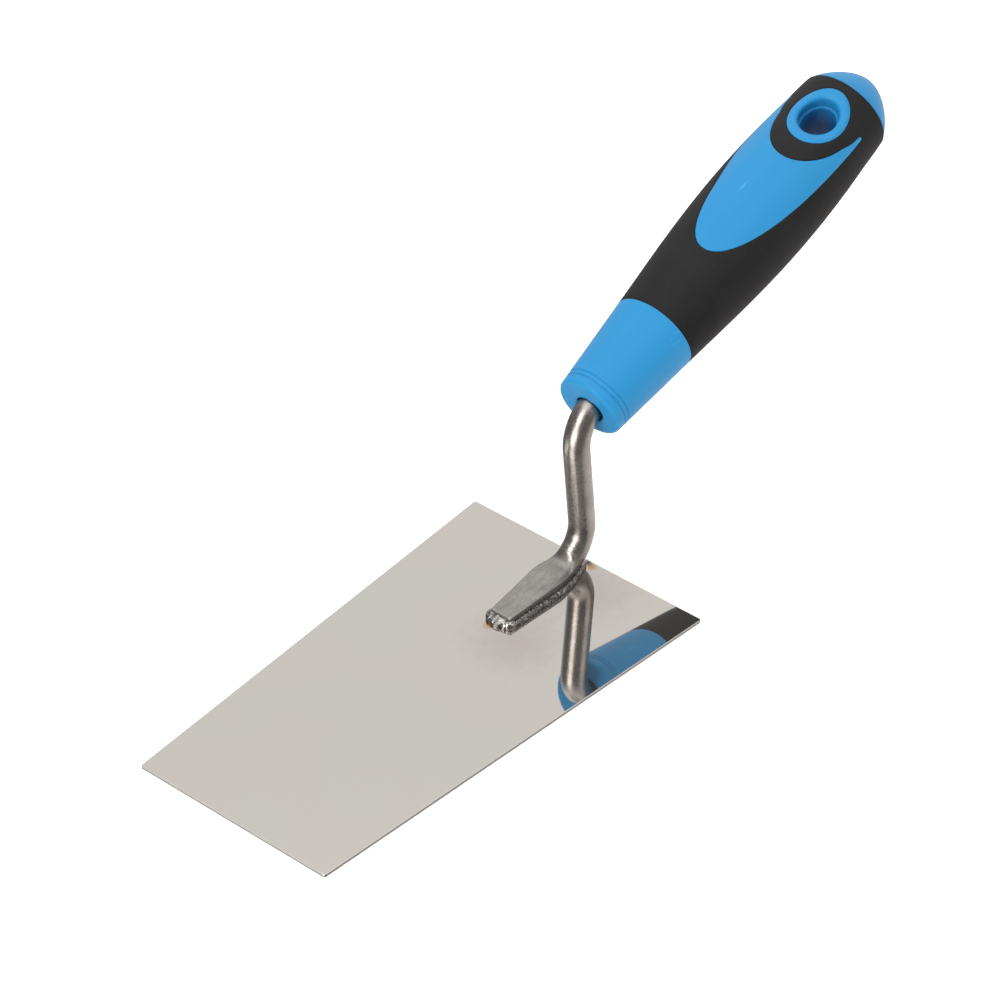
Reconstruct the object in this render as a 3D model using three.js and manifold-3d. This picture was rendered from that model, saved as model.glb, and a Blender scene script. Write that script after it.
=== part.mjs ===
// Bucket trowel: a flat tapering steel blade, a bent steel rod welded on top of it, and a two-part handle.
// Millimetres, +Z up. The origin is the middle of the blade's underside. The blade's narrow end, its toe,
// points along -Y, and its wide end, its heel, along +Y. The handle rises behind the heel.

import * as THREE from 'three';
import { mergeVertices } from 'three/addons/utils/BufferGeometryUtils.js';
import Module from 'manifold-3d';

const wasm = await Module();
wasm.setup();

// Fits
const GAP = 0.3; // between pieces that touch: foot and blade, weld and steel, grip and core
const SOCKET_CLEARANCE = 0.3; // radial, between the shank and its socket
const OVERSHOOT = 2; // how far a cutter runs past what it cuts

// Blade
const BLADE_LENGTH = 150;
const HEEL_WIDTH = 86;
const TOE_WIDTH = 68.5;
const BLADE_THICKNESS = 1;
const CORNER_RADIUS = 0.8;

// Rod: a foot pressed flat on the blade, a bend, a leaning neck, a second bend, and a shank in the handle
const ROD_DIAMETER = 8;
const FOOT_REACH = 38.4; // from the blade's heel edge to the foot's toe end
const FOOT_TOE_WIDTH = 6.6;
const FOOT_TOE_HEIGHT = 2.9;
const FOOT_HEEL_WIDTH = 11.4;
const FOOT_HEEL_HEIGHT = 4;
const FOOT_SQUARENESS = 3.2; // exponent of the foot's section: 2 is an ellipse, more is squarer
const LOWER_BEND_RADIUS = 11.2;
const UPPER_BEND_RADIUS = 12.2;
const NECK_OVERHANG = 0.7; // where the neck's centreline, run straight down, lands behind the heel edge
const NECK_LEAN = 5.9; // degrees towards the toe
const NECK_HEIGHT = 51.8; // blade underside to where the neck's and the handle's centrelines cross
const SHANK_LENGTH = 72; // inside the handle
const PRESS_FADE = 9; // length over which the foot's flattened section becomes the round rod
const NECK_YAW = 0.89; // degrees about +Z between the blade's middle line and the rod, welds and handle

// Welds
const BEAD_RADIUS = 1.9;
const BEAD_INSET = 0.7; // from the foot's side out to the bead's centre
const BEAD_END_SETBACK = 3.4; // from the heel edge to the beads' ends
const NUGGET_LENGTH = 6.4;
const NUGGET_WIDTH = 9.8;
const NUGGET_HEIGHT = 3.1;

// Handle
const HANDLE_PITCH = 19.07; // degrees above the blade's plane
const HANDLE_ROLL = 14; // degrees about its own axis, as it was pressed on the shank
const HANDLE_LENGTH = 139;
const FERRULE_LENGTH = 31.7;
const CAP_LENGTH = 12.4;
const FACE_RADIUS = 10.5;
const FACE_RIM = 1.4;
const FERRULE_RADIUS = 13.25;
const CAP_RADIUS = 14.13;
const GRIP_THICKNESS = 2.4;
const BULGE_FRONT = 0.29; // share of the grip's length that its front curve handle takes
const BULGE_BACK = 0.448; // share of the grip's length that its back curve handle takes
const CAP_TAPER = 0.117; // radius lost per length where the grip meets the cap
const DOME_SHOULDER = 1.6; // length of the dome's curve handle where it leaves the grip
const DOME_NOSE = 7; // length of its curve handle across the nose
const GROOVE_POSITIONS = [3.3, 4.8];
const GROOVE_WIDTH = 0.7;
const GROOVE_DEPTH = 0.35;
const BEND_INSIDE_MOUTH = 3.2; // the upper bend ends this far inside the handle's front face
const MOUTH_EXTRA_DEPTH = 1.5;

// Hanging hole, the ring round it and the tongue-shaped islands, on the top and on the underside of the handle.
// The islands' places are measured from the hole's centre, towards the front face.
const HOLE_FROM_TAIL = 26.6; // from the handle's tail end to the hole's centre
const RING_LENGTH = 22.1;
const RING_WIDTH = 16.9;
const TONGUE_REACH = 57.2; // to the tongue's tip
const TONGUE_WIDEST_REACH = 9.4; // to where the tongue is widest
const TONGUE_WIDTH = 26.4;
const TONGUE_POWER = 2.15; // exponent of the tongue's outline: 2 is an ellipse
const TONGUE_ARM_OVERRUN = 4.4; // how far the tongue's arms run on past the hole's centre
const COLLAR_FRONT = 18.5; // rubber round the ring: from the ring's centre to the tongue's inner edge
const COLLAR_WIDTH = 22.6;
const HOLE_LENGTH = 13.9;
const HOLE_WIDTH = 11;
const HOLE_STEP = 0.6; // the hole's waist is smaller by this all round
const HOLE_WAIST_HEIGHT = 20;

// Fineness
const LATHE_SEGMENTS = 44;
const ROD_SIDES = 20;
const BEAD_SIDES = 12;
const OUTLINE_POINTS = 40;

const steel = new THREE.MeshStandardMaterial({ color: 0xc7c3bf, roughness: 0.12, metalness: 1 });
const rodSteel = new THREE.MeshStandardMaterial({ color: 0x9a9590, roughness: 0.35, metalness: 1 });
const weldMetal = new THREE.MeshStandardMaterial({ color: 0x6e6a66, roughness: 0.5, metalness: 1 });
const bluePlastic = new THREE.MeshStandardMaterial({ color: 0x3f9fdc, roughness: 0.4, metalness: 0 });
const blackRubber = new THREE.MeshStandardMaterial({ color: 0x343436, roughness: 0.7, metalness: 0 });

const radians = THREE.MathUtils.degToRad;
const heelY = BLADE_LENGTH / 2;
const rodRadius = ROD_DIAMETER / 2;
const footFloor = BLADE_THICKNESS + GAP;

// The rod's corners in its own plane, as (y, z): foot's toe end, foot meets neck, neck meets handle axis.
const pitch = radians(HANDLE_PITCH);
const lean = radians(NECK_LEAN);
const axisDirection = new THREE.Vector2(Math.cos(pitch), Math.sin(pitch));
const neckDirection = new THREE.Vector2(-Math.sin(lean), Math.cos(lean));
const neckFoot = new THREE.Vector2(heelY + NECK_OVERHANG, 0);
const upperCorner = neckFoot.clone().addScaledVector(neckDirection, NECK_HEIGHT / neckDirection.y);
const footToe = new THREE.Vector2(heelY - FOOT_REACH, footFloor + FOOT_TOE_HEIGHT / 2);
const footHeelHeight = footFloor + FOOT_HEEL_HEIGHT / 2;
const lowerCorner = neckFoot.clone().addScaledVector(neckDirection, footHeelHeight / neckDirection.y);

// The front face of the handle stands where the upper bend still has BEND_INSIDE_MOUTH left to run.
const upperTurn = neckDirection.angle() - axisDirection.angle();
const upperTangent = UPPER_BEND_RADIUS * Math.tan(upperTurn / 2);
const faceCentre = upperCorner.clone().addScaledVector(axisDirection, upperTangent - BEND_INSIDE_MOUTH);
const shankEnd = faceCentre.clone().addScaledVector(axisDirection, SHANK_LENGTH);

// The shank's socket: wide enough at its mouth for the last of the bend, and close further in.
const mouthAngle = Math.asin(BEND_INSIDE_MOUTH / UPPER_BEND_RADIUS);
const mouthDrop = UPPER_BEND_RADIUS * (1 - Math.cos(mouthAngle));
const mouthRadius = rodRadius / Math.cos(mouthAngle) + mouthDrop + SOCKET_CLEARANCE;
const mouthDepth = BEND_INSIDE_MOUTH + MOUTH_EXTRA_DEPTH;
const socketRadius = rodRadius + SOCKET_CLEARANCE;
const socketDepth = SHANK_LENGTH + OVERSHOOT;

const holeCentre = HANDLE_LENGTH - HOLE_FROM_TAIL;
const gripEnd = HANDLE_LENGTH - CAP_LENGTH;
const gripLength = gripEnd - FERRULE_LENGTH;
const widest = Math.max(FACE_RADIUS, FERRULE_RADIUS, CAP_RADIUS) * 2;

// A closed geometry as a solid that can be joined and cut.
function solid(geometry) {
  const bare = geometry.clone();
  bare.deleteAttribute('normal');
  bare.deleteAttribute('uv');
  const merged = mergeVertices(bare, 1e-4);
  return new wasm.Manifold(new wasm.Mesh({
    numProp: 3,
    vertProperties: new Float32Array(merged.attributes.position.array),
    triVerts: new Uint32Array(merged.index.array),
  }));
}

// A solid back as a flat-shaded geometry.
function geometryOf(body) {
  const mesh = body.getMesh();
  const indexed = new THREE.BufferGeometry();
  indexed.setAttribute('position', new THREE.BufferAttribute(new Float32Array(mesh.vertProperties), 3));
  indexed.setIndex(new THREE.BufferAttribute(new Uint32Array(mesh.triVerts), 1));
  const geometry = indexed.toNonIndexed();
  geometry.computeVertexNormals();
  return geometry;
}

function namedMesh(name, geometry, material) {
  const mesh = new THREE.Mesh(geometry, material);
  mesh.name = name;
  return mesh;
}

// Joins rings of equally many points, in order, into one closed body with flat ends.
function loft(rings) {
  const sides = rings[0].length;
  const last = (rings.length - 1) * sides;
  const index = [];
  for (let start = 0; start < last; start += sides) {
    for (let side = 0; side < sides; side += 1) {
      const next = (side + 1) % sides;
      index.push(start + side, start + sides + side, start + next);
      index.push(start + next, start + sides + side, start + sides + next);
    }
  }
  for (let side = 1; side < sides - 1; side += 1) {
    index.push(0, side, side + 1);
    index.push(last, last + side + 1, last + side);
  }
  const geometry = new THREE.BufferGeometry();
  const points = rings.flat().flatMap((point) => point.toArray());
  geometry.setAttribute('position', new THREE.Float32BufferAttribute(points, 3));
  geometry.setIndex(index);
  return geometry;
}

// One closed curve of a superellipse, |a/width|^power + |b/height|^power = 1, as [a, b] pairs.
function superellipse(halfWidth, halfHeight, power, count) {
  return Array.from({ length: count }, (_, step) => {
    const angle = (step / count) * 2 * Math.PI;
    const across = Math.cos(angle);
    const up = Math.sin(angle);
    return [
      halfWidth * Math.sign(across) * Math.abs(across) ** (2 / power),
      halfHeight * Math.sign(up) * Math.abs(up) ** (2 / power),
    ];
  });
}

// The straight and round stretches of a polyline whose inner corners are each rounded by an arc of its radius.
function roundedPath(corners, radii) {
  const stretches = [];
  let from = corners[0];
  for (let inner = 1; inner < corners.length - 1; inner += 1) {
    const before = corners[inner].clone().sub(corners[inner - 1]).normalize();
    const after = corners[inner + 1].clone().sub(corners[inner]).normalize();
    const turn = Math.atan2(before.cross(after), before.dot(after));
    const radius = radii[inner - 1];
    const tangent = radius * Math.tan(Math.abs(turn) / 2);
    const start = corners[inner].clone().addScaledVector(before, -tangent);
    const side = Math.sign(turn);
    const centre = new THREE.Vector2(start.x - before.y * radius * side, start.y + before.x * radius * side);
    const angle = start.clone().sub(centre).angle();
    stretches.push(new THREE.LineCurve(from, start));
    stretches.push(new THREE.EllipseCurve(centre.x, centre.y, radius, radius, angle, angle + turn, side < 0));
    from = corners[inner].clone().addScaledVector(after, tangent);
  }
  stretches.push(new THREE.LineCurve(from, corners.at(-1)));
  return stretches;
}

function blade() {
  const outline = new THREE.Shape();
  const corners = [
    [HEEL_WIDTH / 2, heelY],
    [-HEEL_WIDTH / 2, heelY],
    [-TOE_WIDTH / 2, -heelY],
    [TOE_WIDTH / 2, -heelY],
  ].map(([x, y]) => new THREE.Vector2(x, y));
  corners.forEach((corner, which) => {
    const before = corners[(which + 3) % 4].clone().sub(corner).setLength(CORNER_RADIUS).add(corner);
    const after = corners[(which + 1) % 4].clone().sub(corner).setLength(CORNER_RADIUS).add(corner);
    if (which === 0) {
      outline.moveTo(before.x, before.y);
    } else {
      outline.lineTo(before.x, before.y);
    }
    outline.quadraticCurveTo(corner.x, corner.y, after.x, after.y);
  });
  outline.closePath();
  const geometry = new THREE.ExtrudeGeometry(outline, {
    depth: BLADE_THICKNESS,
    bevelEnabled: false,
    curveSegments: 4,
  });
  return namedMesh('blade', geometry, steel);
}

// Half the height that a section may have before its underside comes lower than the foot's.
function roomBelow(station, along) {
  const level = along.x > 0.05;
  return level ? (station.y - footFloor) / along.x : Infinity;
}

// The rod's centreline, its flattened section near the foot, and its round section further on.
// Every section grows by `extra` all round, which makes the cutter for the welds.
function rodBody(extra) {
  const corners = [footToe, lowerCorner, upperCorner, shankEnd];
  const [footLine, lowerArc, neckLine, upperArc, shankLine] = roundedPath(
    corners,
    [LOWER_BEND_RADIUS, UPPER_BEND_RADIUS],
  );
  const footLength = footLine.getLength();
  const stations = [
    ...footLine.getPoints(4),
    ...lowerArc.getPoints(12).slice(1),
    ...neckLine.getPoints(3).slice(1),
    ...upperArc.getPoints(12).slice(1),
    ...shankLine.getPoints(2).slice(1),
  ];
  let travelled = 0;
  const rings = stations.map((station, which) => {
    const previous = stations[Math.max(which - 1, 0)];
    const following = stations[Math.min(which + 1, stations.length - 1)];
    travelled += station.distanceTo(previous);
    const along = following.clone().sub(previous).normalize();
    const pressed = 1 - THREE.MathUtils.smoothstep(travelled, footLength, footLength + PRESS_FADE);
    const reached = Math.min(travelled / footLength, 1);
    const footWidth = THREE.MathUtils.lerp(FOOT_TOE_WIDTH, FOOT_HEEL_WIDTH, reached) / 2;
    const footHeight = THREE.MathUtils.lerp(FOOT_TOE_HEIGHT, FOOT_HEEL_HEIGHT, reached) / 2;
    const halfWidth = THREE.MathUtils.lerp(rodRadius, footWidth, pressed) + extra;
    const fadedHeight = THREE.MathUtils.lerp(rodRadius, footHeight, pressed);
    const halfHeight = Math.min(fadedHeight, roomBelow(station, along)) + extra;
    const power = THREE.MathUtils.lerp(2, FOOT_SQUARENESS, pressed);
    const centre = which === 0 ? station.clone().addScaledVector(along, -extra) : station;
    return superellipse(halfWidth, halfHeight, power, ROD_SIDES).map(([across, up]) => new THREE.Vector3(
      across,
      centre.x - up * along.y,
      centre.y + up * along.x,
    ));
  });
  return loft(rings);
}

// What the welds may not touch: the rod and everything up to the blade's top face, each with the gap.
function weldKeepOut() {
  const belowTop = new THREE.BoxGeometry(HEEL_WIDTH, BLADE_LENGTH, footFloor + OVERSHOOT * 2);
  belowTop.translate(0, 0, (footFloor - OVERSHOOT * 2) / 2);
  return solid(rodBody(GAP)).add(solid(belowTop));
}

const nuggetBack = footToe.x + NUGGET_LENGTH / 2 - BEAD_RADIUS;

// side is 1 for the right-hand bead and -1 for the left-hand one.
function weldBead(name, side, keepOut) {
  const start = nuggetBack + GAP + OVERSHOOT;
  const end = heelY - BEAD_END_SETBACK;
  const bendStart = lowerCorner.x - LOWER_BEND_RADIUS;
  const slope = (FOOT_HEEL_WIDTH - FOOT_TOE_WIDTH) / 2 / (bendStart - footToe.x);
  const widthAt = (y) => FOOT_TOE_WIDTH / 2 + slope * (y - footToe.x) + BEAD_INSET;
  const route = new THREE.CatmullRomCurve3([
    new THREE.Vector3(side * widthAt(start), start, footFloor),
    new THREE.Vector3(side * widthAt((start + bendStart) / 2), (start + bendStart) / 2, footFloor),
    new THREE.Vector3(side * widthAt(bendStart), bendStart, footFloor),
    new THREE.Vector3(side * (rodRadius + BEAD_INSET / 2), end, footFloor),
  ]);
  const stations = route.getSpacedPoints(12);
  const rings = stations.map((station) => superellipse(BEAD_RADIUS, BEAD_RADIUS, 2, BEAD_SIDES)
    .map(([across, up]) => new THREE.Vector3(station.x + across, station.y, station.z + up)));
  const bead = solid(loft(rings)).subtract(keepOut);
  return namedMesh(name, geometryOf(bead), weldMetal);
}

function weldNugget(keepOut) {
  const drop = new THREE.SphereGeometry(1, 20, 14);
  drop.scale(NUGGET_WIDTH / 2, NUGGET_LENGTH / 2, NUGGET_HEIGHT);
  drop.translate(0, footToe.x, BLADE_THICKNESS);
  const behind = new THREE.BoxGeometry(NUGGET_WIDTH * 2, NUGGET_LENGTH, NUGGET_HEIGHT * 3);
  behind.translate(0, nuggetBack + OVERSHOOT + NUGGET_LENGTH / 2, NUGGET_HEIGHT);
  const nugget = solid(drop).subtract(keepOut).subtract(solid(behind));
  return namedMesh('weld_nugget', geometryOf(nugget), weldMetal);
}

// The handle is modelled along +Y from its front face, with its top towards +Z.

// The grip's outer profile as [radius, distance from the front face] points: a curve that leaves the ferrule
// along its taper, swells, and meets the cap along CAP_TAPER.
function bulge(inset) {
  const ferruleTaper = (FERRULE_RADIUS - FACE_RADIUS) / FERRULE_LENGTH;
  const front = gripLength * BULGE_FRONT;
  const back = gripLength * BULGE_BACK;
  const curve = new THREE.CubicBezierCurve(
    new THREE.Vector2(FERRULE_RADIUS - inset, FERRULE_LENGTH),
    new THREE.Vector2(FERRULE_RADIUS - inset + ferruleTaper * front, FERRULE_LENGTH + front),
    new THREE.Vector2(CAP_RADIUS - inset + CAP_TAPER * back, gripEnd - back),
    new THREE.Vector2(CAP_RADIUS - inset, gripEnd),
  );
  return curve.getPoints(14);
}

function ferruleProfile() {
  const taperAt = (y) => FACE_RADIUS + (FERRULE_RADIUS - FACE_RADIUS) * (y / FERRULE_LENGTH);
  const profile = [new THREE.Vector2(0, 0)];
  const rim = new THREE.QuadraticBezierCurve(
    new THREE.Vector2(FACE_RADIUS - FACE_RIM, 0),
    new THREE.Vector2(FACE_RADIUS, 0),
    new THREE.Vector2(taperAt(FACE_RIM), FACE_RIM),
  );
  profile.push(...rim.getPoints(4));
  for (const groove of GROOVE_POSITIONS) {
    profile.push(new THREE.Vector2(taperAt(groove - GROOVE_WIDTH / 2), groove - GROOVE_WIDTH / 2));
    profile.push(new THREE.Vector2(taperAt(groove) - GROOVE_DEPTH, groove));
    profile.push(new THREE.Vector2(taperAt(groove + GROOVE_WIDTH / 2), groove + GROOVE_WIDTH / 2));
  }
  profile.push(new THREE.Vector2(FERRULE_RADIUS, FERRULE_LENGTH));
  return profile;
}

function domeProfile() {
  const dome = new THREE.CubicBezierCurve(
    new THREE.Vector2(CAP_RADIUS, gripEnd),
    new THREE.Vector2(CAP_RADIUS, gripEnd + DOME_SHOULDER),
    new THREE.Vector2(DOME_NOSE, HANDLE_LENGTH),
    new THREE.Vector2(0, HANDLE_LENGTH),
  );
  return dome.getPoints(9);
}

// The whole outside of the handle, with no split between plastic and rubber.
function handleOutside() {
  const profile = [...ferruleProfile(), ...bulge(0).slice(1), ...domeProfile().slice(1)];
  return solid(new THREE.LatheGeometry(profile, LATHE_SEGMENTS));
}

// A plan outline, drawn in x (across) and y (along the handle), cut through the whole handle.
function throughPrism(points) {
  const outline = new THREE.Shape(points);
  const prism = new THREE.ExtrudeGeometry(outline, { depth: widest * 2, bevelEnabled: false });
  prism.translate(0, 0, -widest);
  return solid(prism);
}

function ellipsePoints(centre, length, width, grow) {
  return superellipse(width / 2 + grow, length / 2 + grow, 2, OUTLINE_POINTS)
    .map(([across, along]) => new THREE.Vector2(across, centre + along));
}

// The tongue: the front of a superellipse with its arms ended square, less the rubber collar's ellipse.
// It grows by `grow` all round, which makes the grip's window.
function tonguePrism(grow) {
  const halfLength = TONGUE_REACH - TONGUE_WIDEST_REACH + grow;
  const widestAt = holeCentre - TONGUE_WIDEST_REACH;
  const outline = superellipse(TONGUE_WIDTH / 2 + grow, halfLength, TONGUE_POWER, OUTLINE_POINTS * 2)
    .map(([across, along]) => new THREE.Vector2(across, widestAt + along));
  const collar = ellipsePoints(holeCentre, COLLAR_FRONT * 2, COLLAR_WIDTH, -grow);
  const armEnd = holeCentre + TONGUE_ARM_OVERRUN + grow;
  const beyond = [
    new THREE.Vector2(-widest, armEnd),
    new THREE.Vector2(widest, armEnd),
    new THREE.Vector2(widest, HANDLE_LENGTH * 2),
    new THREE.Vector2(-widest, HANDLE_LENGTH * 2),
  ];
  return throughPrism(outline).subtract(throughPrism(collar)).subtract(throughPrism(beyond));
}

function ringPrism(grow) {
  return throughPrism(ellipsePoints(holeCentre, RING_LENGTH, RING_WIDTH, grow));
}

// The hanging hole: an oval through hole with a slightly narrower waist.
function hangingHole() {
  const wide = throughPrism(ellipsePoints(holeCentre, HOLE_LENGTH, HOLE_WIDTH, 0));
  const waistBand = new THREE.BoxGeometry(widest * 2, HANDLE_LENGTH * 2, HOLE_WAIST_HEIGHT);
  waistBand.translate(0, HANDLE_LENGTH, 0);
  const waist = throughPrism(ellipsePoints(holeCentre, HOLE_LENGTH, HOLE_WIDTH, -HOLE_STEP));
  return wide.subtract(solid(waistBand)).add(waist);
}

// The shank's socket, with its wider mouth at the front face.
function shankSocket() {
  const profile = [
    new THREE.Vector2(0, -OVERSHOOT),
    new THREE.Vector2(mouthRadius, -OVERSHOOT),
    new THREE.Vector2(mouthRadius, mouthDepth),
    new THREE.Vector2(socketRadius, mouthDepth + mouthRadius - socketRadius),
    new THREE.Vector2(socketRadius, socketDepth),
    new THREE.Vector2(0, socketDepth),
  ];
  return solid(new THREE.LatheGeometry(profile, ROD_SIDES));
}

function handleCore(outside) {
  const profile = [
    ...ferruleProfile(),
    ...bulge(GRIP_THICKNESS),
    ...domeProfile(),
  ];
  const islands = tonguePrism(0).add(ringPrism(0)).intersect(outside);
  const core = solid(new THREE.LatheGeometry(profile, LATHE_SEGMENTS))
    .add(islands)
    .subtract(shankSocket())
    .subtract(hangingHole());
  return namedMesh('handle_core', geometryOf(core), bluePlastic);
}

function grip(outside) {
  const inner = bulge(GRIP_THICKNESS - GAP);
  const front = FERRULE_LENGTH + GAP;
  const back = gripEnd - GAP;
  const profile = [
    new THREE.Vector2(inner[0].x, front),
    new THREE.Vector2(widest, front),
    new THREE.Vector2(widest, back),
    new THREE.Vector2(inner.at(-1).x, back),
    ...inner.slice(1, -1).reverse(),
    new THREE.Vector2(inner[0].x, front),
  ];
  const rubber = solid(new THREE.LatheGeometry(profile, LATHE_SEGMENTS))
    .intersect(outside)
    .subtract(tonguePrism(GAP))
    .subtract(ringPrism(GAP));
  return namedMesh('grip', geometryOf(rubber), blackRubber);
}

const trowel = new THREE.Group();
trowel.add(blade());

const rodAndHandle = new THREE.Group();
rodAndHandle.add(namedMesh('neck_rod', rodBody(0), rodSteel));

const keepOut = weldKeepOut();
rodAndHandle.add(weldBead('weld_bead_right', 1, keepOut));
rodAndHandle.add(weldBead('weld_bead_left', -1, keepOut));
rodAndHandle.add(weldNugget(keepOut));

const handle = new THREE.Group();
const outside = handleOutside();
handle.add(handleCore(outside));
handle.add(grip(outside));
handle.position.set(0, faceCentre.x, faceCentre.y);
handle.rotation.set(pitch, radians(HANDLE_ROLL), 0);
rodAndHandle.add(handle);

rodAndHandle.rotation.z = radians(NECK_YAW);
trowel.add(rodAndHandle);

export default trowel;
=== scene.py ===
"""Bucket trowel: a mirror-bright steel blade, a bent rod welded on it, and a blue and black handle.

Lengths inside the parts are millimetres, and metres in the finishes and the studio. The meshes are in metres,
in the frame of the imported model: +Z up, the blade's toe towards -Y, the handle towards +Y, the origin in the
middle of the blade's underside.
"""

import logging
import math
from dataclasses import dataclass
from enum import Enum
from functools import partial
from typing import Callable, ClassVar

import bmesh
import bpy
import numpy as np
from mathutils import Euler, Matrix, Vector


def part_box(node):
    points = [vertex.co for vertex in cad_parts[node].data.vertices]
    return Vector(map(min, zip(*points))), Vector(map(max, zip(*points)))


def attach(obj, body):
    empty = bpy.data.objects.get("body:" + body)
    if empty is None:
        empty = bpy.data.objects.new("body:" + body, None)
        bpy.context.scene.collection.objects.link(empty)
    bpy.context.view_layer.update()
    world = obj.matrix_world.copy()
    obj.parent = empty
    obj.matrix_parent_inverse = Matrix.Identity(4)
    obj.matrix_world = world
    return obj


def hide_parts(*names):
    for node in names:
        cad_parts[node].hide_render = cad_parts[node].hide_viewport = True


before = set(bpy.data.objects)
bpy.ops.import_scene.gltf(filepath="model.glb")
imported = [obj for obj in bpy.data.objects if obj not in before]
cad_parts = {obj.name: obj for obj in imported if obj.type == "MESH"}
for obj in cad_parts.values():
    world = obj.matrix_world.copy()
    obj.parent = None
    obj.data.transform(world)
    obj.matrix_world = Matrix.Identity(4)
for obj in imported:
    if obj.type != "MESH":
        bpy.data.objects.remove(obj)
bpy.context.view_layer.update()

MM = 0.001
WELD_DISTANCE = 1.5e-6

log = logging.getLogger("trowel")
Triple = tuple[float, float, float]
Grid = tuple[np.ndarray, bool]
Region = Callable[[np.ndarray, np.ndarray], np.ndarray]
Piece = bpy.types.Object
Material = bpy.types.Material
Tree = bpy.types.NodeTree
Node = bpy.types.Node
Socket = bpy.types.NodeSocket


class Axis(Enum):
    """An axis of the object's frame, with the two axes that a turn about it carries, in order."""

    X = (1, 2)
    Y = (2, 0)
    Z = (0, 1)


class BodyName(Enum):
    """The bodies that pieces ride on."""

    ROOT = "root"


class Slot(Enum):
    """The material slots."""

    BLADE = "blade_steel"
    ROD = "rod_steel"
    WELD = "weld_metal"
    PLASTIC = "blue_plastic"
    RUBBER = "black_rubber"


class Side(Enum):
    """The sides of the foot, by the sign of X."""

    RIGHT = 1
    LEFT = -1


def turn_about(axis: Axis, degrees: float) -> np.ndarray:
    """Makes the 3 by 3 matrix of a turn, counterclockwise seen from the axis's tip.

    Args:
        axis: the axis to turn about.
        degrees: how far.

    Returns:
        The matrix.
    """
    first, second = axis.value
    matrix = np.eye(3)
    matrix[first, first] = matrix[second, second] = math.cos(math.radians(degrees))
    matrix[second, first] = math.sin(math.radians(degrees))
    matrix[first, second] = -matrix[second, first]
    return matrix


def smooth_step(value: np.ndarray, low: float, high: float) -> np.ndarray:
    """Returns 0 below low, 1 above high, and the cubic 3t^2 - 2t^3 between them."""
    t = np.clip((value - low) / (high - low), 0, 1)
    return t * t * (3 - 2 * t)


def lump_field(points: np.ndarray, wavelength: float, seed: int) -> np.ndarray:
    """Irregular lumps: the mean of eight sine waves that run in random directions.

    Args:
        points: places in millimetres, of shape (..., 3).
        wavelength: the lumps' usual spacing in millimetres.
        seed: picks the directions, so that the same seed gives the same lumps.

    Returns:
        Heights between about -1 and 1, of shape (...).
    """
    random = np.random.default_rng(seed)
    directions = random.normal(size=(8, 3))
    directions /= np.linalg.norm(directions, axis=1, keepdims=True)
    rates = random.uniform(0.6, 1.7, size=(8, 1)) * math.tau / wavelength
    phases = random.uniform(0, math.tau, size=8)
    return np.sin(points @ (directions * rates).T + phases).mean(axis=-1) * 2.2


def bezier(corners: list[tuple[float, float]], count: int) -> np.ndarray:
    """Samples a cubic Bezier curve, each corner weighted by its Bernstein polynomial.

    Args:
        corners: the four control points.
        count: how many samples.

    Returns:
        Points of shape (count, 2).
    """
    t = np.linspace(0, 1, count)[:, None]
    a, b, c, d = (np.array(corner) for corner in corners)
    return a * (1 - t) ** 3 + 3 * b * t * (1 - t) ** 2 + 3 * c * t**2 * (1 - t) + d * t**3


def superellipse(wave: np.ndarray, power: np.ndarray) -> np.ndarray:
    """A superellipse's coordinate from a sine or cosine: its size to the power 2 / power, and its sign."""
    return np.sign(wave) * np.abs(wave) ** (2 / power)


def between(first: np.ndarray, last: np.ndarray, count: int) -> np.ndarray:
    """Rows evenly spaced between two rows, without either."""
    return first + (last - first) * np.linspace(0, 1, count + 2)[1:-1, None]


def quads(index: np.ndarray) -> np.ndarray:
    """The four-sided faces between neighbours in a grid of point numbers, of shape (faces, 4)."""
    corners = [index[:-1, :-1], index[1:, :-1], index[1:, 1:], index[:-1, 1:]]
    return np.stack(corners, axis=-1).reshape(-1, 4)


def new_object(name: str, data: bpy.types.ID) -> Piece:
    """Makes an object of a mesh or a camera and links it to the scene."""
    made = bpy.data.objects.new(name, data)
    bpy.context.scene.collection.objects.link(made)
    return made


# ---------------------------------------------------------------- finishes


def opaque(colour: object) -> object:
    """Gives a plain colour its fourth number, and leaves a socket alone."""
    return (*colour, 1.0) if isinstance(colour, tuple) and len(colour) == 3 else colour


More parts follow.
